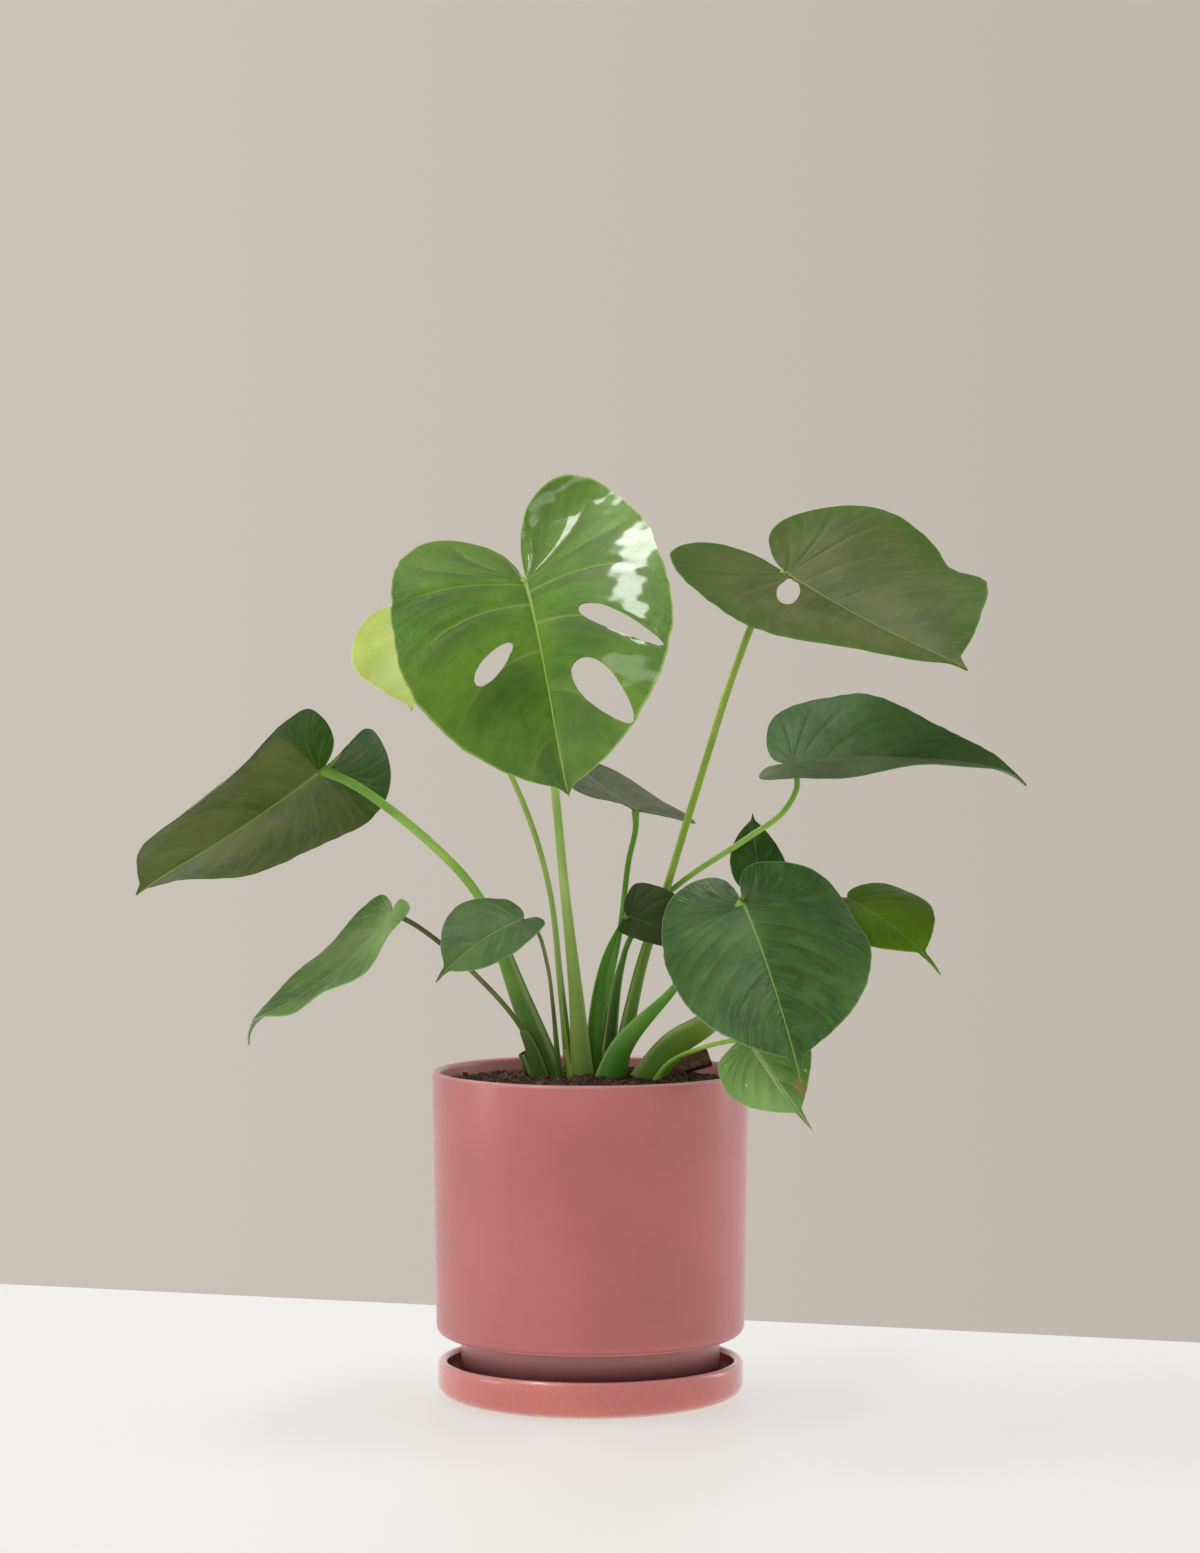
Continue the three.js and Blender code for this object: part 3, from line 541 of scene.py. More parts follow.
def leaf_material(name, skin, under, veins, midrib):
    """One side of a blade. The underside is duller and its veins stand out paler."""
    look = PLAIN_SKIN | SKINS[skin]
    material, n, shader, output = new_material(f"{name}_{'under' if under else 'upper'}")
    pattern = use_group(n, BLADE_PATTERN, Veins=float(veins), Vein_Width=0.034 if under else 0.024,
                        Midrib=midrib * MAP_SCALE * 0.62, Streaks=float(veins) * 9)
    place = n.object_place()
    body = leaf_colour(n, pattern, place, skin, under)
    n.join(body, shader.inputs["Base Color"])
    rough = max(look["rough"], 0.45) if under else look["rough"]
    n.join(n.range(n.noise(place, 60.0, detail=4.0), 0.3, 0.7, rough - 0.05, rough + 0.08),
           shader.inputs["Roughness"])
    crinkle = n.noise(place, 230.0, detail=4.0, roughness=0.6, distortion=0.2)
    height = n.math("ADD", n.times(pattern["Streaks"], 0.8), n.times(crinkle, 1.2))
    height = n.math("ADD", height, n.times(pattern["Veins"], 0.35 if under else -0.35))
    n.join(n.bump(height, look["crinkle"], 0.0008), shader.inputs["Normal"])
    shader.inputs["Specular IOR Level"].default_value = 0.14 if under else look["gloss"]
    shader.inputs["Coat Weight"].default_value = 0.0 if under else look["coat"]
    shader.inputs["Coat Roughness"].default_value = 0.10

    # a little light comes through the blade
    glow = n.add("ShaderNodeBsdfTranslucent")
    n.join(n.mix(0.5, body, linear(look["light"])), glow.inputs["Color"])
    blend = n.add("ShaderNodeMixShader")
    blend.inputs[0].default_value = 0.20
    n.join(shader.outputs[0], blend.inputs[1])
    n.join(glow.outputs[0], blend.inputs[2])
    n.join(blend.outputs[0], output.inputs["Surface"])
    return material


# ---------------------------------------------------------------- blades

def half_outline(leaf, side, shares):
    """Points of half the flat outline, from the notch to the tip, at even shares of its length."""
    length = leaf["size"][0]
    width = leaf["size"][1 + side]
    lobe = leaf["size"][3 + side]
    drip, widest_share, full = leaf["form"]
    widest = widest_share * length
    shoulder = length * (1 - drip)
    taper = shoulder - widest
    neck = 0.075 * width
    cleft = leaf.get("cleft", (0.14, 0.14))[side] * width
    curves = [
        ((0, 0), (0.03 * width, -0.55 * lobe), (cleft, -lobe), (0.45 * width, -lobe)),
        ((0.45 * width, -lobe), (0.8 * width, -lobe),
         (width, widest - 0.3 * length - 0.35 * lobe), (width, widest)),
        ((width, widest), (width, widest + taper * 0.5 * full),
         (0.4 * width * full, widest + taper * 0.86), (neck, shoulder)),
        ((neck, shoulder), (0.55 * neck, shoulder + 0.3 * drip * length),
         (0.25 * neck, shoulder + 0.7 * drip * length), (0, length)),
    ]
    t = np.linspace(0, 1, 60)[:, None]
    line = np.vstack([
        (1 - t) ** 3 * np.array(a) + 3 * (1 - t) ** 2 * t * np.array(b)
        + 3 * (1 - t) * t * t * np.array(c) + t ** 3 * np.array(d)
        for a, b, c, d in curves])
    run = np.concatenate([[0], np.cumsum(np.hypot(*np.diff(line, axis=0).T))])
    run /= run[-1]
    return np.stack([np.interp(shares, run, line[:, 0]), np.interp(shares, run, line[:, 1])], -1)


def blade_surface(leaf, u, v):
    """The blade's middle surface in millimetres, for flat outline coordinates u across and v along."""
    length = leaf["size"][0]
    arch, tip, twist, sway_angle = np.radians(leaf["bend"])
    steps = np.linspace(0, 1, 121)

    def bend_at(share):
        return arch * share + tip * np.clip((share - TIP_START) / (1 - TIP_START), 0, 1) ** 2

    bend = bend_at(steps)
    sway = sway_angle * steps
    rates = (np.sin(sway) * np.cos(bend), np.cos(sway) * np.cos(bend), -np.sin(bend))
    spine = [np.concatenate([[0], np.cumsum((r[1:] + r[:-1]) / 2) * length / 120]) for r in rates]
    share = np.clip(v / length, 0, 1)
    x, y, z = (np.interp(share, steps, line) for line in spine)
    bend = bend_at(share)
    sway = sway_angle * share
    left = u < 0

    def pick(pair):
        return np.where(left, pair[1], pair[0])

    fold = np.radians(pick(leaf["fold"]))
    width = pick(leaf["size"][1:3])
    curl = np.radians(pick(leaf["droop"])) / width
    curl = np.where(np.abs(curl) < 1e-6, 1e-6, curl)
    reach = np.abs(u)
    out = (np.sin(fold) - np.sin(fold - curl * reach)) / curl * np.where(left, -1, 1)
    rise = (np.cos(fold - curl * reach) - np.cos(fold)) / curl
    back = np.clip(-v, 0, None)
    turn = np.radians(pick(leaf["lift"])) * back / np.maximum(pick(leaf["size"][3:5]), 1)
    turn = np.where(np.abs(turn) < 1e-6, 1e-6, turn)
    y = y - back * np.sin(turn) / turn
    z = z - back * (1 - np.cos(turn)) / turn
    spin = twist * share
    level = out * np.cos(spin) - rise * np.sin(spin)
    up = out * np.sin(spin) + rise * np.cos(spin)
    x = x + level * np.cos(sway) + up * np.sin(sway) * np.sin(bend)
    y = y - level * np.sin(sway) + up * np.sin(bend) * np.cos(sway)
    z = z + up * np.cos(bend)

    aim, dip, roll = np.radians(leaf["turn"])
    along = np.array([np.cos(aim) * np.cos(dip), np.sin(aim) * np.cos(dip), -np.sin(dip)])
    across = np.cross(along, (0, 0, 1))
    across /= np.linalg.norm(across)
    above = np.cross(across, along)
    side = across * np.cos(roll) + above * np.sin(roll)
    top = np.cross(side, along)
    return np.array(leaf["at"]) + x[:, None] * side + y[:, None] * along + z[:, None] * top


def blade_normal(leaf, u, v):
    step = 0.6
    across = blade_surface(leaf, u + step, v) - blade_surface(leaf, u - step, v)
    along = blade_surface(leaf, u, v + step) - blade_surface(leaf, u, v - step)
    normal = np.cross(across, along)
    return normal / np.linalg.norm(normal, axis=1)[:, None]


FAN_END = 0.38           # ribs in this first share of the margin all start at the notch
NOTCH_SPREAD = 0.02
RIB_SWEEP = 2.1
OUTLINE_RIPPLE = 0.0035  # of the half-width
BLADE_BODY = 0.65        # thickness between the veins
CRINKLE_SIZES = (17, 13, 9.5, 7.5)
CRINKLE_SLOPE = 0.0075   # height of a crinkle for each millimetre of its length


def noise_line(name, row):
    """A small ripple along the margin, its own for each leaf."""
    own = random.Random(name)
    total = np.zeros(len(row))
    for waves in (7, 11, 17, 26):
        total += np.sin(2 * np.pi * (waves * row + own.random())) * own.uniform(0.5, 1.0)
    return total


def hole_measure(hole, u, v):
    """Below 1 inside the hole, and the coordinates along and across it."""
    centre_u, centre_v, reach, half, turn, skew = hole
    c, s = math.cos(math.radians(turn)), math.sin(math.radians(turn))
    along = (u - centre_u) * c + (v - centre_v) * s
    across = -(u - centre_u) * s + (v - centre_v) * c
    width = half * (1 + skew * np.clip(along / reach, -1, 1))
    return (along / reach) ** 2 + (across / width) ** 2


def rib_layout(name, leaf, share, row, left):
    """Flat places: each rib leaves the midrib nearly square to it and then sweeps towards the tip."""
    length = leaf["size"][0]
    edges = [half_outline(leaf, side, row) for side in (0, 1)]
    edge = np.where(left[:, None], edges[1], edges[0])
    ripple = noise_line(name, row) * np.where(left, -1, 1) * OUTLINE_RIPPLE * leaf["size"][1]
    edge[:, 0] += ripple * smoothstep(0.03, 0.12, row) * (1 - smoothstep(0.88, 0.96, row))
    for place, depth, spread in leaf.get("dent", ()):
        edge[:, 0] += np.where(left, depth, 0) * np.exp(-((row - place) / spread) ** 2)
    start = NOTCH_SPREAD * length * np.clip(row / FAN_END, 0, 1)
    rib = start + length * (1 - NOTCH_SPREAD) * np.clip((row - FAN_END) / (1 - FAN_END), 0, 1) ** RIB_SWEEP
    knee_u = edge[:, 0] * 0.70
    knee_v = rib + (edge[:, 1] - rib) * 0.28
    u = 2 * (1 - share) * share * knee_u + share ** 2 * edge[:, 0]
    v = (1 - share) ** 2 * rib + 2 * (1 - share) * share * knee_v + share ** 2 * edge[:, 1]
    return np.where(left, -u, u), v


def open_windows(leaf, mesh, u, v):
    """Faces inside a hole go, and their neighbours' loose corners are drawn onto its rim."""
    inside = np.zeros(len(u), bool)
    for hole in leaf["holes"]:
        inside |= hole_measure(hole, u, v) < 1
    gone = [f.index for f in mesh.polygons if all(inside[i] for i in f.vertices)]
    kept = {i for f in mesh.polygons if f.index not in set(gone) for i in f.vertices}
    for hole in leaf["holes"]:
        for i in np.nonzero(hole_measure(hole, u, v) < 1)[0]:
            if i not in kept:
                continue
            for _ in range(6):
                scale = 1 / math.sqrt(max(float(hole_measure(hole, u[i:i + 1], v[i:i + 1])[0]), 1e-6))
                u[i] = hole[0] + (u[i] - hole[0]) * scale
                v[i] = hole[1] + (v[i] - hole[1]) * scale
    return gone


def blade_relief(name, leaf, u, v, share, row, left):
    """Grooves over the side veins, soft swells between them and waves at the margin."""
    count, relief, midrib = leaf["veins"]
    phase = 2 * np.pi * (row * count + np.where(left, 0.5, 0) + 0.5)
    groove = (0.5 + 0.5 * np.cos(phase)) ** 7
    fade = smoothstep(0.02, 0.18, share) * (1 - smoothstep(0.6, 0.98, share)) * smoothstep(0.02, 0.10, row)
    fade *= 1 - smoothstep(0.86, 0.97, row)
    lift = relief * fade * (0.25 - groove)
    swell = random.Random(name + "swell")

    def ripples(size):
        way = swell.uniform(0, 2 * math.pi)
        run = (u * math.cos(way) + v * math.sin(way)) / size + swell.random()
        return np.sin(2 * np.pi * run)

    for size in (70, 38):
        lift += relief * 0.35 * size / 70 * ripples(size) * smoothstep(0.0, 0.3, share)
    for size in CRINKLE_SIZES:
        lift += CRINKLE_SLOPE * size * relief * ripples(size) * smoothstep(0.05, 0.4, share)
    rib_half = midrib * (1 - 0.7 * row) * 0.5 + 0.2
    lift -= 0.35 * midrib * 0.4 * np.exp(-(u / rib_half) ** 2) * (1 - smoothstep(0.85, 1.0, row))
    for side, (height, waves, offset) in enumerate(leaf["wave"]):
        mine = left if side else ~left
        swing = height * share ** 2.6 * np.sin(2 * np.pi * waves * row + offset * 2 * np.pi)
        swing *= smoothstep(0.0, 0.15, row) * (1 - smoothstep(0.85, 1.0, row))
        lift += np.where(mine, swing, 0)
    return lift, groove * fade, rib_half


def blade_piece(name, leaf):
    columns = 2 * max(18, int(leaf["size"][1] / 2.0))
    rows = max(64, int(leaf["size"][0] * 0.95))
    count, _, midrib = leaf["veins"]
    obj, mesh, grid = grid_piece(columns, rows)
    left = grid[:, 0] < 0
    share = np.abs(grid[:, 0]) ** 1.15
    row = (grid[:, 1] + 1) / 2
    u, v = rib_layout(name, leaf, share, row, left)
    gone = open_windows(leaf, mesh, u, v)
    lift, grooves, rib_half = blade_relief(name, leaf, u, v, share, row, left)
    points = blade_surface(leaf, u, v) + blade_normal(leaf, u, v) * lift[:, None]
    mesh.vertices.foreach_set("co", (points * MM).ravel())
    map_ribs(mesh, u * MAP_SCALE, row, "share", share)

    # the blade thickens under the midrib and a little under each side vein
    ridge = np.exp(-(u / (rib_half * 1.1)) ** 2) * (1 - 0.75 * row)
    thick = BLADE_BODY + midrib * 0.75 * ridge + 0.3 * grooves
    thick *= 1 - 0.45 * smoothstep(0.9, 1.0, share)
    most = float(thick.max())
    group = obj.vertex_groups.new(name="thickness")
    for i, value in enumerate(thick):
        group.add([i], float(value) / most, "REPLACE")

    make_active(obj)
    editing = bmesh.new()
    editing.from_mesh(mesh)
    editing.faces.ensure_lookup_table()
    bmesh.ops.delete(editing, geom=[editing.faces[i] for i in gone], context="FACES")
    bmesh.ops.remove_doubles(editing, verts=editing.verts, dist=0.00006)
    editing.to_mesh(mesh)
    editing.free()
    add_modifier(obj, "SOLIDIFY", thickness=most * MM, offset=-1, vertex_group="thickness",
                 thickness_vertex_group=0.1, material_offset=1, material_offset_rim=0,
                 use_even_offset=False)
    sides = [leaf_material(name, leaf["skin"], under, count, midrib) for under in (False, True)]
    return settle(obj, f"blade_{name}", sides, smooth_angle=60)


# ---------------------------------------------------------------- stalks

# middle, light and dark of the stalk, and its colour towards the foot, mostly darker as painted shade low in
# the crown
TONES = {
    "fresh": ("90ae52", "aac470", "7a9a40", "86a54a"),
    "spring": ("86b83c", "a6d05c", "6fa52c", "76a834"),
    "lime": ("8aa93a", "a4c058", "6c8e2c", "4f7a26"),
    "bright": ("4a8a22", "86b354", "36701a", "42801f"),
    "leafy": ("6f9f38", "9cc05a", "4f8226", "365f16"),
    "olive": ("6f9032", "96b050", "4f7222", "55801f"),
    "dark": ("4c801e", "76a63c", "3a6618", "4a8018"),
    "brown": ("5a6234", "7a824a", "454a26", "3f6c1e"),
}


def stalk_material(tone):
    """Smooth stalk: long fibres, painted shade darkening it towards the foot, and paler along the sheath's
    thin edges.
    """
    middle, light, dark, low = TONES[tone]
    material, n, shader, _ = new_material(f"stalk_{tone}")
    around, along, _ = n.split(n.add("ShaderNodeUVMap", uv_map="ribs").outputs[0])
    fibre = n.gather(n.times(around, 8.0), n.times(along, 4.0))
    lines = n.noise(fibre, 1.0, detail=2.0, roughness=0.5)
    cloud = n.noise(n.object_place(), 28.0, detail=2.0)
    body = n.mix(n.range(cloud, 0.35, 0.68), linear(middle), linear(light))
    body = n.paint(body, n.range(lines, 0.35, 0.70), 0.18, linear(dark))
    # painted shade: the stalk turns to its foot colour, mostly darker, down towards the crown
    body = n.mix(n.range(along, 0.05, 0.60, 0.9, 0.0), body, linear(low))
    edge = n.add("ShaderNodeAttribute", attribute_name="edge").outputs["Fac"]
    body = n.paint(body, edge, 0.7, linear("b9cb86"))
    foot = n.range(along, 0.0, 0.035, 0.55, 0.0)
    body = n.mix(foot, body, linear("57502c"))
    n.join(body, shader.inputs["Base Color"])
    n.join(n.range(cloud, 0.3, 0.7, 0.38, 0.48), shader.inputs["Roughness"])
    n.join(n.bump(lines, 0.04, 0.0003), shader.inputs["Normal"])
    shader.inputs["Specular IOR Level"].default_value = 0.22
    return material


STALK_FINISH = {}


def route_line(points, steps):
    """A smooth line through the points, at even steps: places and directions in millimetres."""
    p = np.array(points, float)
    p = np.vstack([2 * p[0] - p[1], p, 2 * p[-1] - p[-2]])
    line = []
    for a, b, c, d in zip(p[:-3], p[1:-2], p[2:-1], p[3:]):
        gaps = [max(np.linalg.norm(s) ** 0.5, 1e-6) for s in (b - a, c - b, d - c)]
        one = (c - b) + gaps[1] * ((b - a) / gaps[0] - (c - a) / (gaps[0] + gaps[1]))
        two = (c - b) + gaps[1] * ((d - c) / gaps[2] - (d - b) / (gaps[1] + gaps[2]))
        t = np.linspace(0, 1, 40, endpoint=False)[:, None]
        h1, h2 = 2 * t ** 3 - 3 * t ** 2 + 1, -2 * t ** 3 + 3 * t ** 2
        h3, h4 = t ** 3 - 2 * t ** 2 + t, t ** 3 - t ** 2
        line.append(h1 * b + h2 * c + h3 * one + h4 * two)
    line = np.vstack(line + [p[-2][None]])
    run = np.concatenate([[0], np.cumsum(np.linalg.norm(np.diff(line, axis=0), axis=1))])
    even = np.linspace(0, run[-1], steps)
    places = np.stack([np.interp(even, run, line[:, k]) for k in range(3)], -1)
    ways = np.gradient(places, axis=0)
    return places, ways / np.linalg.norm(ways, axis=1)[:, None], run[-1]


# the sheath's open section: share of the way round from its back, then how far out and how far up
SHEATH_SECTION = (
    (0.0, 0.12, 0.25, 0.36, 0.46, 0.53, 0.57, 0.62, 0.72, 0.85, 1.0),
    (0.0, 0.50, 0.88, 1.00, 0.92, 0.72, 0.66, 0.66, 0.74, 0.50, 0.0),
    (-1.0, -0.90, -0.45, 0.10, 0.75, 1.22, 1.24, 1.10, 0.35, -0.35, -0.6),
)


SHEATH_WIDTH = 0.88      # of the stated half-width, since the section bulges past it
SHEATH_DEPTH = 0.80


def stalk_piece(name, stalk, end):
    """A stalk whose foot opens into a channelled sheath. The section is rolled round a grid."""
    points = stalk["route"] + ([end] if end else [])
    places, ways, total = route_line(points, STALK_ROWS + 1)
    lean = np.array(points[-1], float) - np.array(points[0], float)
    lean[2] = 0
    lean /= max(np.linalg.norm(lean), 1e-6)
    inner = np.array([0, 0, 1.0]) - lean
    reach = stalk["reach"] / total
    top = stalk["top"]

    obj, mesh, grid = grid_piece(STALK_AROUND, STALK_ROWS)
    row = np.rint((grid[:, 1] + 1) / 2 * STALK_ROWS).astype(int)
    share = row / STALK_ROWS
    way = ways[row]
    face = inner - way * (way @ inner)[:, None]
    face /= np.linalg.norm(face, axis=1)[:, None]
    side = np.cross(way, face)

    open_part = np.clip(1 - share / reach, 0, 1) ** stalk["ease"]
    knuckle = 1 + 0.35 * np.exp(-((1 - share) * total / 7) ** 2)
    half = top * knuckle + (SHEATH_WIDTH * stalk["sheath"] - top) * open_part
    deep = top * knuckle + (SHEATH_DEPTH * stalk["sheath"] - top) * open_part
    lap = np.abs(grid[:, 0])
    way_round = np.sign(grid[:, 0])
    groove = smoothstep(0.5, 1.0, lap) * 0.22
    round_x, round_y = np.sin(np.pi * lap), -np.cos(np.pi * lap) - groove
    wing_x = np.interp(lap, SHEATH_SECTION[0], SHEATH_SECTION[1])
    wing_y = np.interp(lap, SHEATH_SECTION[0], SHEATH_SECTION[2])
    lateral = way_round * (round_x + (wing_x - round_x) * open_part) * half
    depth = (round_y + (wing_y - round_y) * open_part) * deep
    offset = side * lateral[:, None] + face * depth[:, None]
    co = (places[row] + offset) * MM
    mesh.vertices.foreach_set("co", co.ravel())

    edge = open_part * smoothstep(0.44, 0.52, lap) * (1 - smoothstep(0.62, 0.72, lap))
    map_ribs(mesh, grid[:, 0] / 2 + 0.5, share, "edge", edge)

    make_active(obj)
    bpy.ops.object.mode_set(mode="EDIT")
    bpy.ops.mesh.select_all(action="SELECT")
    bpy.ops.mesh.remove_doubles(threshold=0.00002)
    bpy.ops.mesh.select_all(action="DESELECT")
    bpy.ops.mesh.select_non_manifold()
    bpy.ops.mesh.fill()
    bpy.ops.mesh.select_all(action="SELECT")
    bpy.ops.mesh.normals_make_consistent(inside=False)
    bpy.ops.object.mode_set(mode="OBJECT")
    tone = stalk["tone"]
    if tone not in STALK_FINISH:
        STALK_FINISH[tone] = stalk_material(tone)
    return settle(obj, name, [STALK_FINISH[tone]])


# ---------------------------------------------------------------- turned pieces

def arc(centre, radius, start, end, steps):
    """Points of a rounded corner, in the plane of radius and height."""
    angles = [math.radians(start + (end - start) * i / steps) for i in range(steps + 1)]
    return [(centre[0] + radius * math.cos(a), centre[1] + radius * math.sin(a)) for a in angles]


def turned_piece(profile, closed):
    """A round piece: a ring is extruded and resized from point to point of its profile."""
    radius, height = profile[0]
    deselect()
    bpy.ops.mesh.primitive_circle_add(vertices=ROUND_STEPS, radius=radius * MM, fill_type="NOTHING",
                                      location=(0, 0, height * MM))
    obj = bpy.context.object
    bpy.ops.object.transform_apply(location=True)
    bpy.ops.object.mode_set(mode="EDIT")
    bpy.ops.mesh.select_all(action="SELECT")
    for next_radius, next_height in profile[1:]:
        step = {"value": (0, 0, (next_height - height) * MM)}
        bpy.ops.mesh.extrude_edges_move(TRANSFORM_OT_translate=step)
        factor = next_radius / radius
        bpy.ops.transform.resize(value=(factor, factor, 1), center_override=(0, 0, 0))
        radius, height = next_radius, next_height
    bpy.ops.mesh.select_all(action="SELECT")
    if closed:
        bpy.ops.mesh.remove_doubles(threshold=0.00001)
    else:
        bpy.ops.mesh.select_all(action="DESELECT")
        bpy.ops.mesh.select_non_manifold()
        bpy.ops.mesh.edge_face_add()
        bpy.ops.mesh.select_all(action="SELECT")
    bpy.ops.mesh.normals_make_consistent(inside=False)
    bpy.ops.object.mode_set(mode="OBJECT")
    return obj


def glaze_material(name, main, deep, light, rough, coat, bare_below, rim, inside):
    """Clouded, finely grained glaze, paler on sharp edges and at the rim: partly thinner glaze, partly a
    painted highlight.

    bare_below: height of bare clay at the foot, or 0. inside: radius of the inner wall, or 0; the inner
    wall then gets painted light and the recess under the shoulder painted shade.
    """
    material, n, shader, _ = new_material(name)
    place = n.object_place()
    x, y, height = n.split(place)
    cloud = n.noise(place, 14.0, detail=4.0)
    grain = n.noise(place, 900.0, detail=2.0)
    body = n.mix(n.range(cloud, 0.3, 0.7), linear(main), linear(deep))
    body = n.paint(body, n.range(grain, 0.52, 0.70), 0.07, linear(light))
    # painted highlight on sharp edges, partly paler glaze there
    edge = n.add("ShaderNodeNewGeometry").outputs["Pointiness"]
    body = n.paint(body, n.range(edge, 0.505, 0.56), 0.55, linear(light))
    # painted highlight: a pale line along the top of the rim, partly thinner glaze there
    thin = n.range(height, (rim - 2.0) * MM, (rim - 0.5) * MM, 0.0, 0.6)
    body = n.mix(thin, body, linear("e6a49f"))
    if inside:
        out = n.add("ShaderNodeVectorMath", operation="LENGTH")
        n.join(n.gather(x, y), out.inputs[0])
        # painted light: the inner wall is made paler, as if lit from above
        painted_inner_light = n.range(out.outputs["Value"], (inside - 0.6) * MM, (inside + 0.4) * MM, 0.9, 0.0)
        body = n.mix(painted_inner_light, body, linear("f0a6a0"))
        # painted shade: the recess under the shoulder is darkened, most towards the foot
        low = n.range(height, (POT_SHOULDER - 20) * MM, (POT_SHOULDER - 1) * MM, 0.96, 0.60)
        recess = n.times(low, n.math("LESS_THAN", height, (POT_SHOULDER - 0.4) * MM))
        body = n.mix(recess, body, linear("4a1f23"))
    if bare_below:
        ragged = n.math("ADD", height, n.times(n.math("SUBTRACT", cloud, 0.5), 0.0016))
        bare = n.range(ragged, bare_below * MM, (bare_below + 0.5) * MM, 1.0, 0.0)
        body = n.mix(bare, body, linear("c79a63"))
        n.join(n.range(bare, 0.0, 1.0, coat, 0.0), shader.inputs["Coat Weight"])
    else:
        shader.inputs["Coat Weight"].default_value = coat
    n.join(body, shader.inputs["Base Color"])
    n.join(n.range(grain, 0.3, 0.7, rough - 0.04, rough + 0.05), shader.inputs["Roughness"])
    shader.inputs["Coat Roughness"].default_value = 0.18
    height_map = n.math("ADD", n.times(grain, 0.3), n.times(cloud, 1.0))
    n.join(n.bump(height_map, 0.12, 0.0002), shader.inputs["Normal"])
    return material


def make_saucer():
    inner = SAUCER_RADIUS - SAUCER_WALL
    lip = SAUCER_WALL / 2
    profile = [(2.0, 0.0), (SAUCER_FOOT - 8, 0.0), (SAUCER_FOOT, 0.0)]
    profile += [(SAUCER_FOOT + 5, 0.35), (SAUCER_FOOT + 9.0, 1.3)]
    profile += arc((SAUCER_RADIUS - 7.5, 9.5), 7.5, -62, 0, 8)
    profile += [(SAUCER_RADIUS, SAUCER_HEIGHT - lip - 3)]
    profile += arc((SAUCER_RADIUS - lip, SAUCER_HEIGHT - lip), lip, 0, 180, 10)
    profile += [(inner - 0.4, SAUCER_HEIGHT - 8)]
    profile += arc((inner - 5.5, SAUCER_FLOOR + 4.8), 4.8, 0, -90, 6)
    profile += [(SAUCER_FOOT - 4, SAUCER_FLOOR), (20, SAUCER_FLOOR), (2.0, SAUCER_FLOOR)]
    obj = turned_piece(profile, closed=False)
    finish = glaze_material("saucer_glaze", "c96c66", "bd635e", "e09f88", 0.24, 0.5, 1.6,
                            SAUCER_HEIGHT, 0)
    settle(obj, "saucer_glazed", [finish], smooth_angle=40)
    return hold(obj, "saucer_glaze", "saucer")


def make_pot():
    inner_foot = POT_FOOT - POT_WALL
    inner_base = POT_BASE - POT_WALL
    inner_rim = POT_RADIUS - POT_WALL
    lip = POT_WALL / 2
    profile = [(DRAIN, POT_LIFT + 2), (POT_FOOT - 9, POT_LIFT + 2), (POT_FOOT - 8, POT_LIFT)]
    profile += arc((POT_FOOT - 1.5, POT_LIFT + 1.5), 1.5, -90, 0, 4)
    profile += [(POT_FOOT, POT_SHOULDER - 3)]
    profile += [(POT_FOOT + 1.0, POT_SHOULDER - 0.8), (POT_FOOT + 3.0, POT_SHOULDER)]
    profile += arc((POT_BASE - 6.0, POT_SHOULDER + 6.0), 6.0, -90, 0, 8)
    wall = POT_RIM - lip - POT_SHOULDER - 6
    profile += [(POT_BASE + (POT_RADIUS - POT_BASE) * t, POT_SHOULDER + 6 + wall * t)
                for t in (0.25, 0.5, 0.75)]
    profile += arc((POT_RADIUS - lip, POT_RIM - lip), lip, 0, 180, 10)
    profile += [(inner_rim - 0.6, POT_RIM - 25), (inner_base, POT_SHOULDER + 14)]
    profile += [(inner_foot, POT_SHOULDER + 5), (inner_foot, POT_FLOOR), (DRAIN, POT_FLOOR)]
    profile += [(DRAIN, POT_LIFT + 2)]
    obj = turned_piece(profile, closed=True)
    finish = glaze_material("pot_glaze", "b76362", "ad5d5c", "cc8884", 0.42, 0.25, 0,
                            POT_RIM, inner_rim)
    settle(obj, "pot_glazed", [finish], smooth_angle=40)
    return hold(obj, "pot_glaze", "pot")


# ---------------------------------------------------------------- soil

def soil_height(radius):
    inner = POT_RADIUS - POT_WALL
    return SOIL_CROWN + (SOIL_EDGE - SOIL_CROWN) * (radius / inner) ** 2


def earth_material(name, dark, light, rough):
    material, n, shader, _ = new_material(name)
    place = n.object_place()
    coarse = n.noise(place, 260.0, detail=5.0, roughness=0.65)
    spot = n.noise(place, 90.0, detail=3.0)
    body = n.mix(n.range(coarse, 0.38, 0.68), linear(dark), linear(light))
    body = n.mix(n.range(spot, 0.45, 0.70, 0.0, 0.6), body, linear("1f140e"))
    n.join(body, shader.inputs["Base Color"])
    n.join(n.range(coarse, 0.3, 0.7, rough - 0.1, rough), shader.inputs["Roughness"])
    n.join(n.bump(coarse, 0.9, 0.0012), shader.inputs["Normal"])
    return material


def scatter(reach):
    """A random place on the soil, evenly spread over its surface."""
    angle = rng.uniform(0, 2 * math.pi)
    radius = reach * math.sqrt(rng.random())
    return radius * math.cos(angle), radius * math.sin(angle), soil_height(radius)


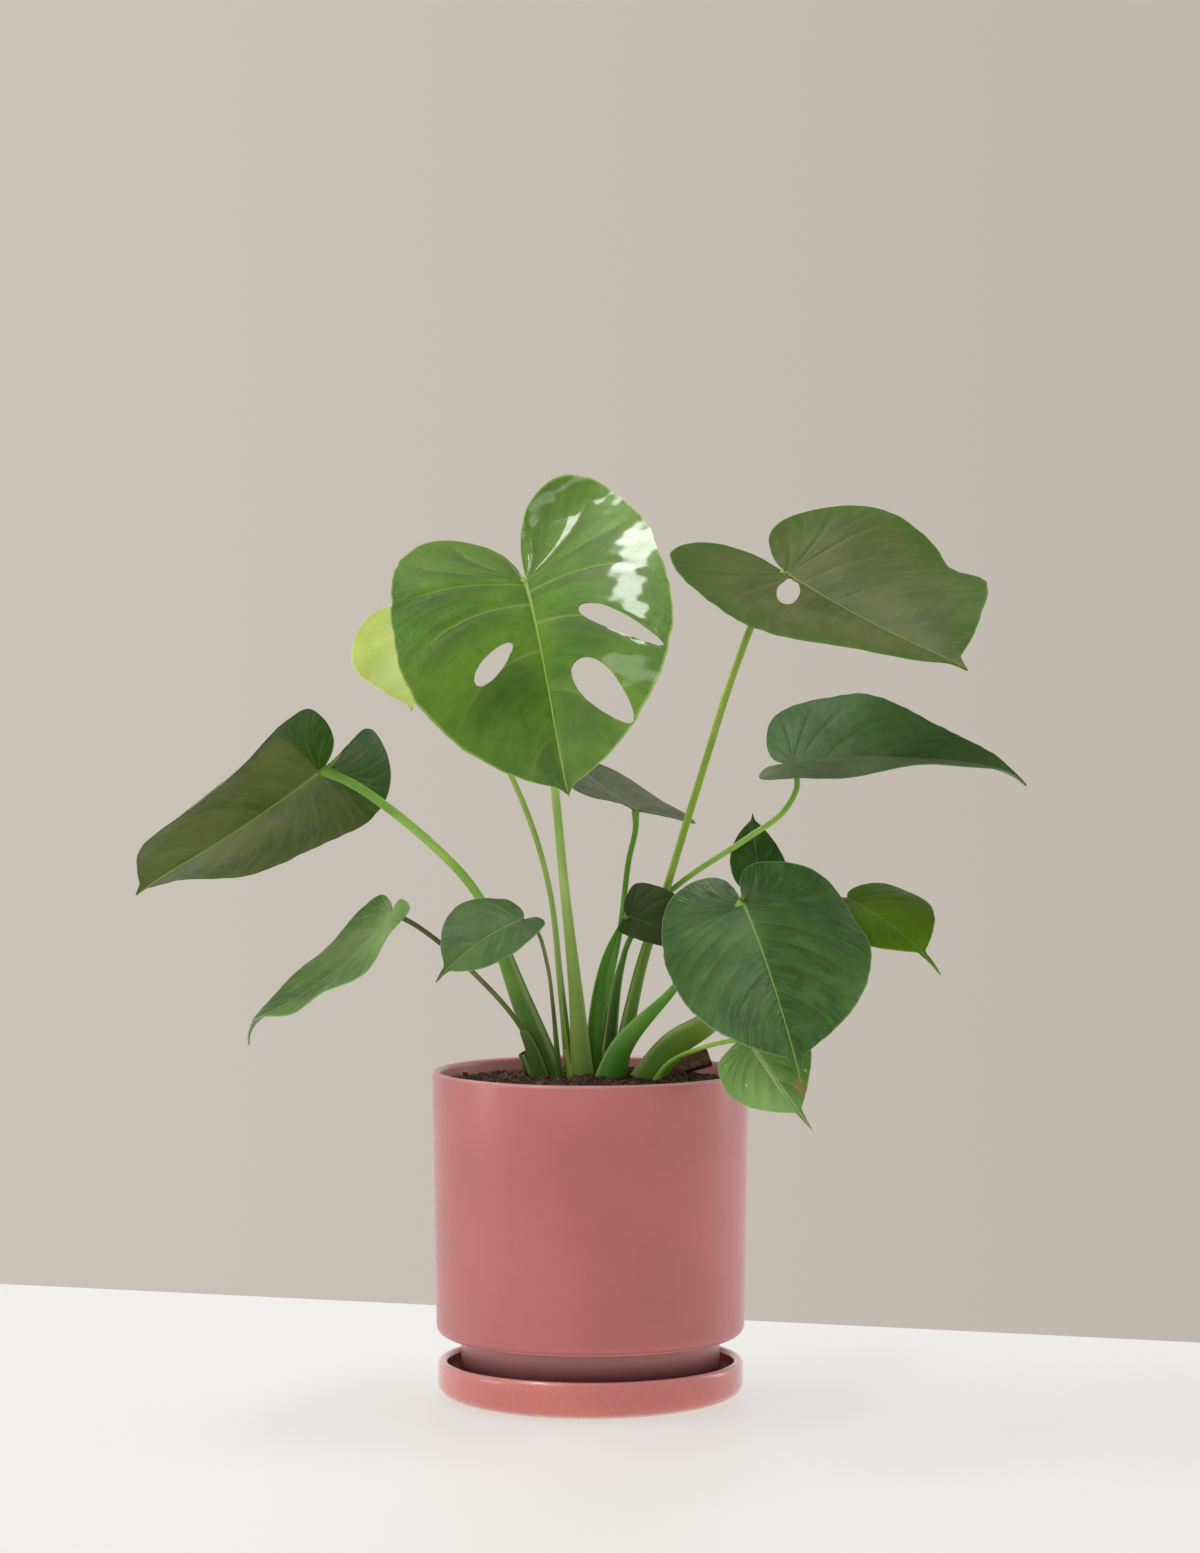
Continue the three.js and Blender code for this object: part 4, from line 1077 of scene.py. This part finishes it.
def make_soil():
    """A domed bed of potting mix, rough on top, with loose crumbs and short fibres lying on it."""
    finish = earth_material("potting_mix", "2b1b13", "5a3d2a", 0.95)
    edge = POT_RADIUS - POT_WALL - 0.9
    rings = [edge * k / 26 for k in range(26, 0, -1)]
    foot = POT_FOOT - POT_WALL - 0.3
    profile = [(4.0, POT_FLOOR + 0.3), (foot, POT_FLOOR + 0.3), (foot, POT_SHOULDER + 5)]
    profile += [(POT_BASE - POT_WALL - 0.4, POT_SHOULDER + 15)]
    profile += [(r, soil_height(r)) for r in rings]
    bed = turned_piece(profile, closed=False)
    noise = random.Random(3)
    for vertex in bed.data.vertices:
        if vertex.co.z > 0.17:
            vertex.co.z += (noise.random() - 0.5) * 0.0018
    settle(bed, "soil_bed", [finish], smooth_angle=30)
    hold(bed, "soil", "soil")

    crumbs = bmesh.new()
    for _ in range(CRUMBS):
        x, y, ground = scatter(edge - 2.5)
        size = rng.choice((0.7, 0.9, 1.1, 1.4, 1.8)) * rng.uniform(0.8, 1.3)
        shape = Matrix.Translation(Vector((x, y, ground + size * 0.25)) * MM)
        spin = rng.uniform(0, math.pi)
        shape @= Matrix.Rotation(spin, 4, Vector((rng.random(), rng.random(), 1)).normalized())
        shape @= Matrix.Diagonal((size * MM * rng.uniform(0.8, 1.6), size * MM, size * MM * 0.7, 1))
        made = bmesh.ops.create_icosphere(crumbs, subdivisions=1, radius=1.0, matrix=shape)
        for vertex in made["verts"]:
            jitter = Vector([rng.uniform(-1, 1) for _ in range(3)])
            vertex.co += jitter * size * MM * 0.28
    for _ in range(FIBRES):
        x, y, ground = scatter(edge - 6)
        shape = Matrix.Translation(Vector((x, y, ground + 1.0)) * MM)
        shape @= Matrix.Rotation(rng.uniform(0, 2 * math.pi), 4, "Z")
        shape @= Matrix.Rotation(rng.uniform(1.2, 1.75), 4, "Y")
        length = rng.uniform(4, 10) * MM
        bmesh.ops.create_cone(crumbs, segments=5, radius1=0.00022, radius2=0.00012, depth=length,
                              matrix=shape, cap_ends=True)
    mesh = bpy.data.meshes.new("soil_crumbs")
    crumbs.to_mesh(mesh)
    crumbs.free()
    loose = add_object("soil_crumbs", mesh)
    settle(loose, "soil_crumbs", [earth_material("coir_crumbs", "33211a", "7a573c", 0.95)], smooth_angle=30)
    hold(loose, "soil")


# ---------------------------------------------------------------- small pieces at the crown

BARK_PLACE = (0.056, 0.034, 0.1865)
BARK_SIZE = (0.026, 0.0055, 0.011)
BARK_TURN = (-24, -16, 12)


def make_crown_pieces():
    for name, (node, stub) in STUBS.items():
        hold(stalk_piece(name, stub, None), "stalk", node)

    deselect()
    bpy.ops.mesh.primitive_cube_add(size=1, location=BARK_PLACE)
    chunk = bpy.context.object
    chunk.scale = BARK_SIZE
    chunk.rotation_euler = [math.radians(angle) for angle in BARK_TURN]
    bpy.ops.object.transform_apply(location=True, rotation=True, scale=True)
    bpy.ops.object.mode_set(mode="EDIT")
    bpy.ops.mesh.select_all(action="SELECT")
    bpy.ops.mesh.subdivide(number_cuts=6, fractal=0.9, seed=5)
    bpy.ops.object.mode_set(mode="OBJECT")
    add_modifier(chunk, "BEVEL", width=0.0006, segments=2)
    bark = earth_material("dry_bark", "4a2f20", "8a6547", 0.9)
    settle(chunk, "bark_chip", [bark], smooth_angle=35)
    hold(chunk, "bark", "bark_chunk")


# ---------------------------------------------------------------- stage

TABLE_SIZE = 5.0
TABLE_THICKNESS = 0.03
TABLE_FAR = 0.303                         # distance of the far edge behind the plant
TABLE_SLANT = -17.3                       # turn of that edge, in degrees
TABLE_SEEN = (0.56, 0.555, 0.54, 1.0)     # the lit sweep as it looks
TABLE_BOUNCE = (0.70, 0.68, 0.65, 1.0)    # and what it throws back up at the pot
ROOM_WALLS = (1.02, 1.0, 0.97, 1.0)       # light from the pale room all round
ROOM_CEILING = (0.32, 0.32, 0.32, 1.0)

CAMERA_PLACE = (0.0054, -2.4, 0.426)
CAMERA_DOWN = 1.75                        # degrees below level
CAMERA_LENS = 98.2

# place, target, width and height in metres, power in watts
LIGHTS = {
    "key_strip": ((-0.88, 0.30, 2.6), (0, 0, 0.30), 1.8, 0.36, 46),
    "front_panel": ((-1.55, -1.45, 2.0), (0, 0, 0.30), 1.5, 0.45, 11),
    "left_panel": ((-2.4, -0.5, 0.5), (0, 0, 0.15), 0.8, 0.8, 7),
    "right_strip": ((1.9, 0.8, 0.7), (0, 0, 0.2), 0.6, 1.4, 6),
}


def table_material():
    """A lit white sweep: most of its brightness is its own, so shadows on it stay weak."""
    material, n, shader, _ = new_material("table_white")
    grain = n.noise(n.object_place(), 35.0, detail=4.0)
    n.join(n.paint(linear("848381"), grain, 0.1, linear("7c7a75")), shader.inputs["Base Color"])
    shader.inputs["Roughness"].default_value = 0.6
    seen = n.add("ShaderNodeLightPath").outputs["Is Camera Ray"]
    n.join(n.mix(seen, TABLE_BOUNCE, TABLE_SEEN), shader.inputs["Emission Color"])
    shader.inputs["Emission Strength"].default_value = 1.0
    return material


def make_stage():
    """A pale table top whose far edge runs a little slantwise behind the plant."""
    slant = math.radians(TABLE_SLANT)
    deselect()
    bpy.ops.mesh.primitive_cube_add(size=1)
    table = bpy.context.object
    table.scale = (TABLE_SIZE, TABLE_SIZE, TABLE_THICKNESS)
    bpy.ops.object.transform_apply(scale=True)
    table.rotation_euler = (0, 0, slant)
    middle = Vector((0, TABLE_FAR, 0)) + Vector((math.sin(slant), -math.cos(slant), 0)) * (TABLE_SIZE / 2)
    table.location = (middle.x, middle.y, -0.0151)
    add_modifier(table, "BEVEL", width=0.002, segments=2)
    settle(table, "table_top", [table_material()], smooth_angle=30)


def make_room():
    """A pale wall behind the plant, and a lighter room around it that only the light comes from."""
    world = bpy.context.scene.world or bpy.data.worlds.new("World")
    bpy.context.scene.world = world
    world.use_nodes = True
    tree = world.node_tree
    tree.nodes.clear()
    n = Nodes(tree)
    output = n.add("ShaderNodeOutputWorld")
    sky = n.add("ShaderNodeBackground")
    across, _, up = n.split(n.add("ShaderNodeTexCoord").outputs["Generated"])
    side = n.range(across, -0.16, 0.16, 0.0, 1.0, smooth=False)
    n.join(n.mix(side, linear("ccc4b9"), linear("c0b7ac")), sky.inputs["Color"])
    studio = n.add("ShaderNodeBackground")
    rise = n.range(up, 0.10, 0.65)
    n.join(n.mix(rise, ROOM_WALLS, ROOM_CEILING), studio.inputs["Color"])
    seen = n.add("ShaderNodeLightPath").outputs["Is Camera Ray"]
    choose = n.add("ShaderNodeMixShader")
    n.join(seen, choose.inputs[0])
    n.join(studio.outputs[0], choose.inputs[1])
    n.join(sky.outputs[0], choose.inputs[2])
    n.join(choose.outputs[0], output.inputs["Surface"])


def make_lights():
    for name, (place, target, width, height, power) in LIGHTS.items():
        light = bpy.data.lights.new(name, "AREA")
        light.shape = "RECTANGLE"
        light.size = width
        light.size_y = height
        light.energy = power
        obj = add_object(name, light)
        obj.location = place
        obj.rotation_euler = (Vector(target) - Vector(place)).to_track_quat("-Z", "Y").to_euler()


def make_camera():
    data = bpy.data.cameras.new("camera")
    data.lens = CAMERA_LENS
    data.sensor_width = 36.0
    data.clip_end = 50
    obj = add_object("camera", data)
    obj.location = CAMERA_PLACE
    obj.rotation_euler = (math.radians(90 - CAMERA_DOWN), 0, 0)
    bpy.context.scene.camera = obj


# ---------------------------------------------------------------- build

for old in [o for o in bpy.data.objects if o.type in ("LIGHT", "CAMERA")]:
    bpy.data.objects.remove(old)

bpy.context.scene.view_settings.view_transform = "Standard"
make_camera()
make_stage()
make_room()
make_lights()
make_saucer()
make_pot()
make_soil()
for name, stalk in STALKS.items():
    hold(stalk_piece(f"stem_{name}", stalk, LEAVES[name]["at"]), "stalk", f"stalk_{name}")
slots = {part["node"]: part["material_slot"] for part in frame["record"]["subparts"]}
for name, leaf in LEAVES.items():
    hold(blade_piece(name, leaf), slots[f"leaf_{name}"], f"leaf_{name}")
make_crown_pieces()
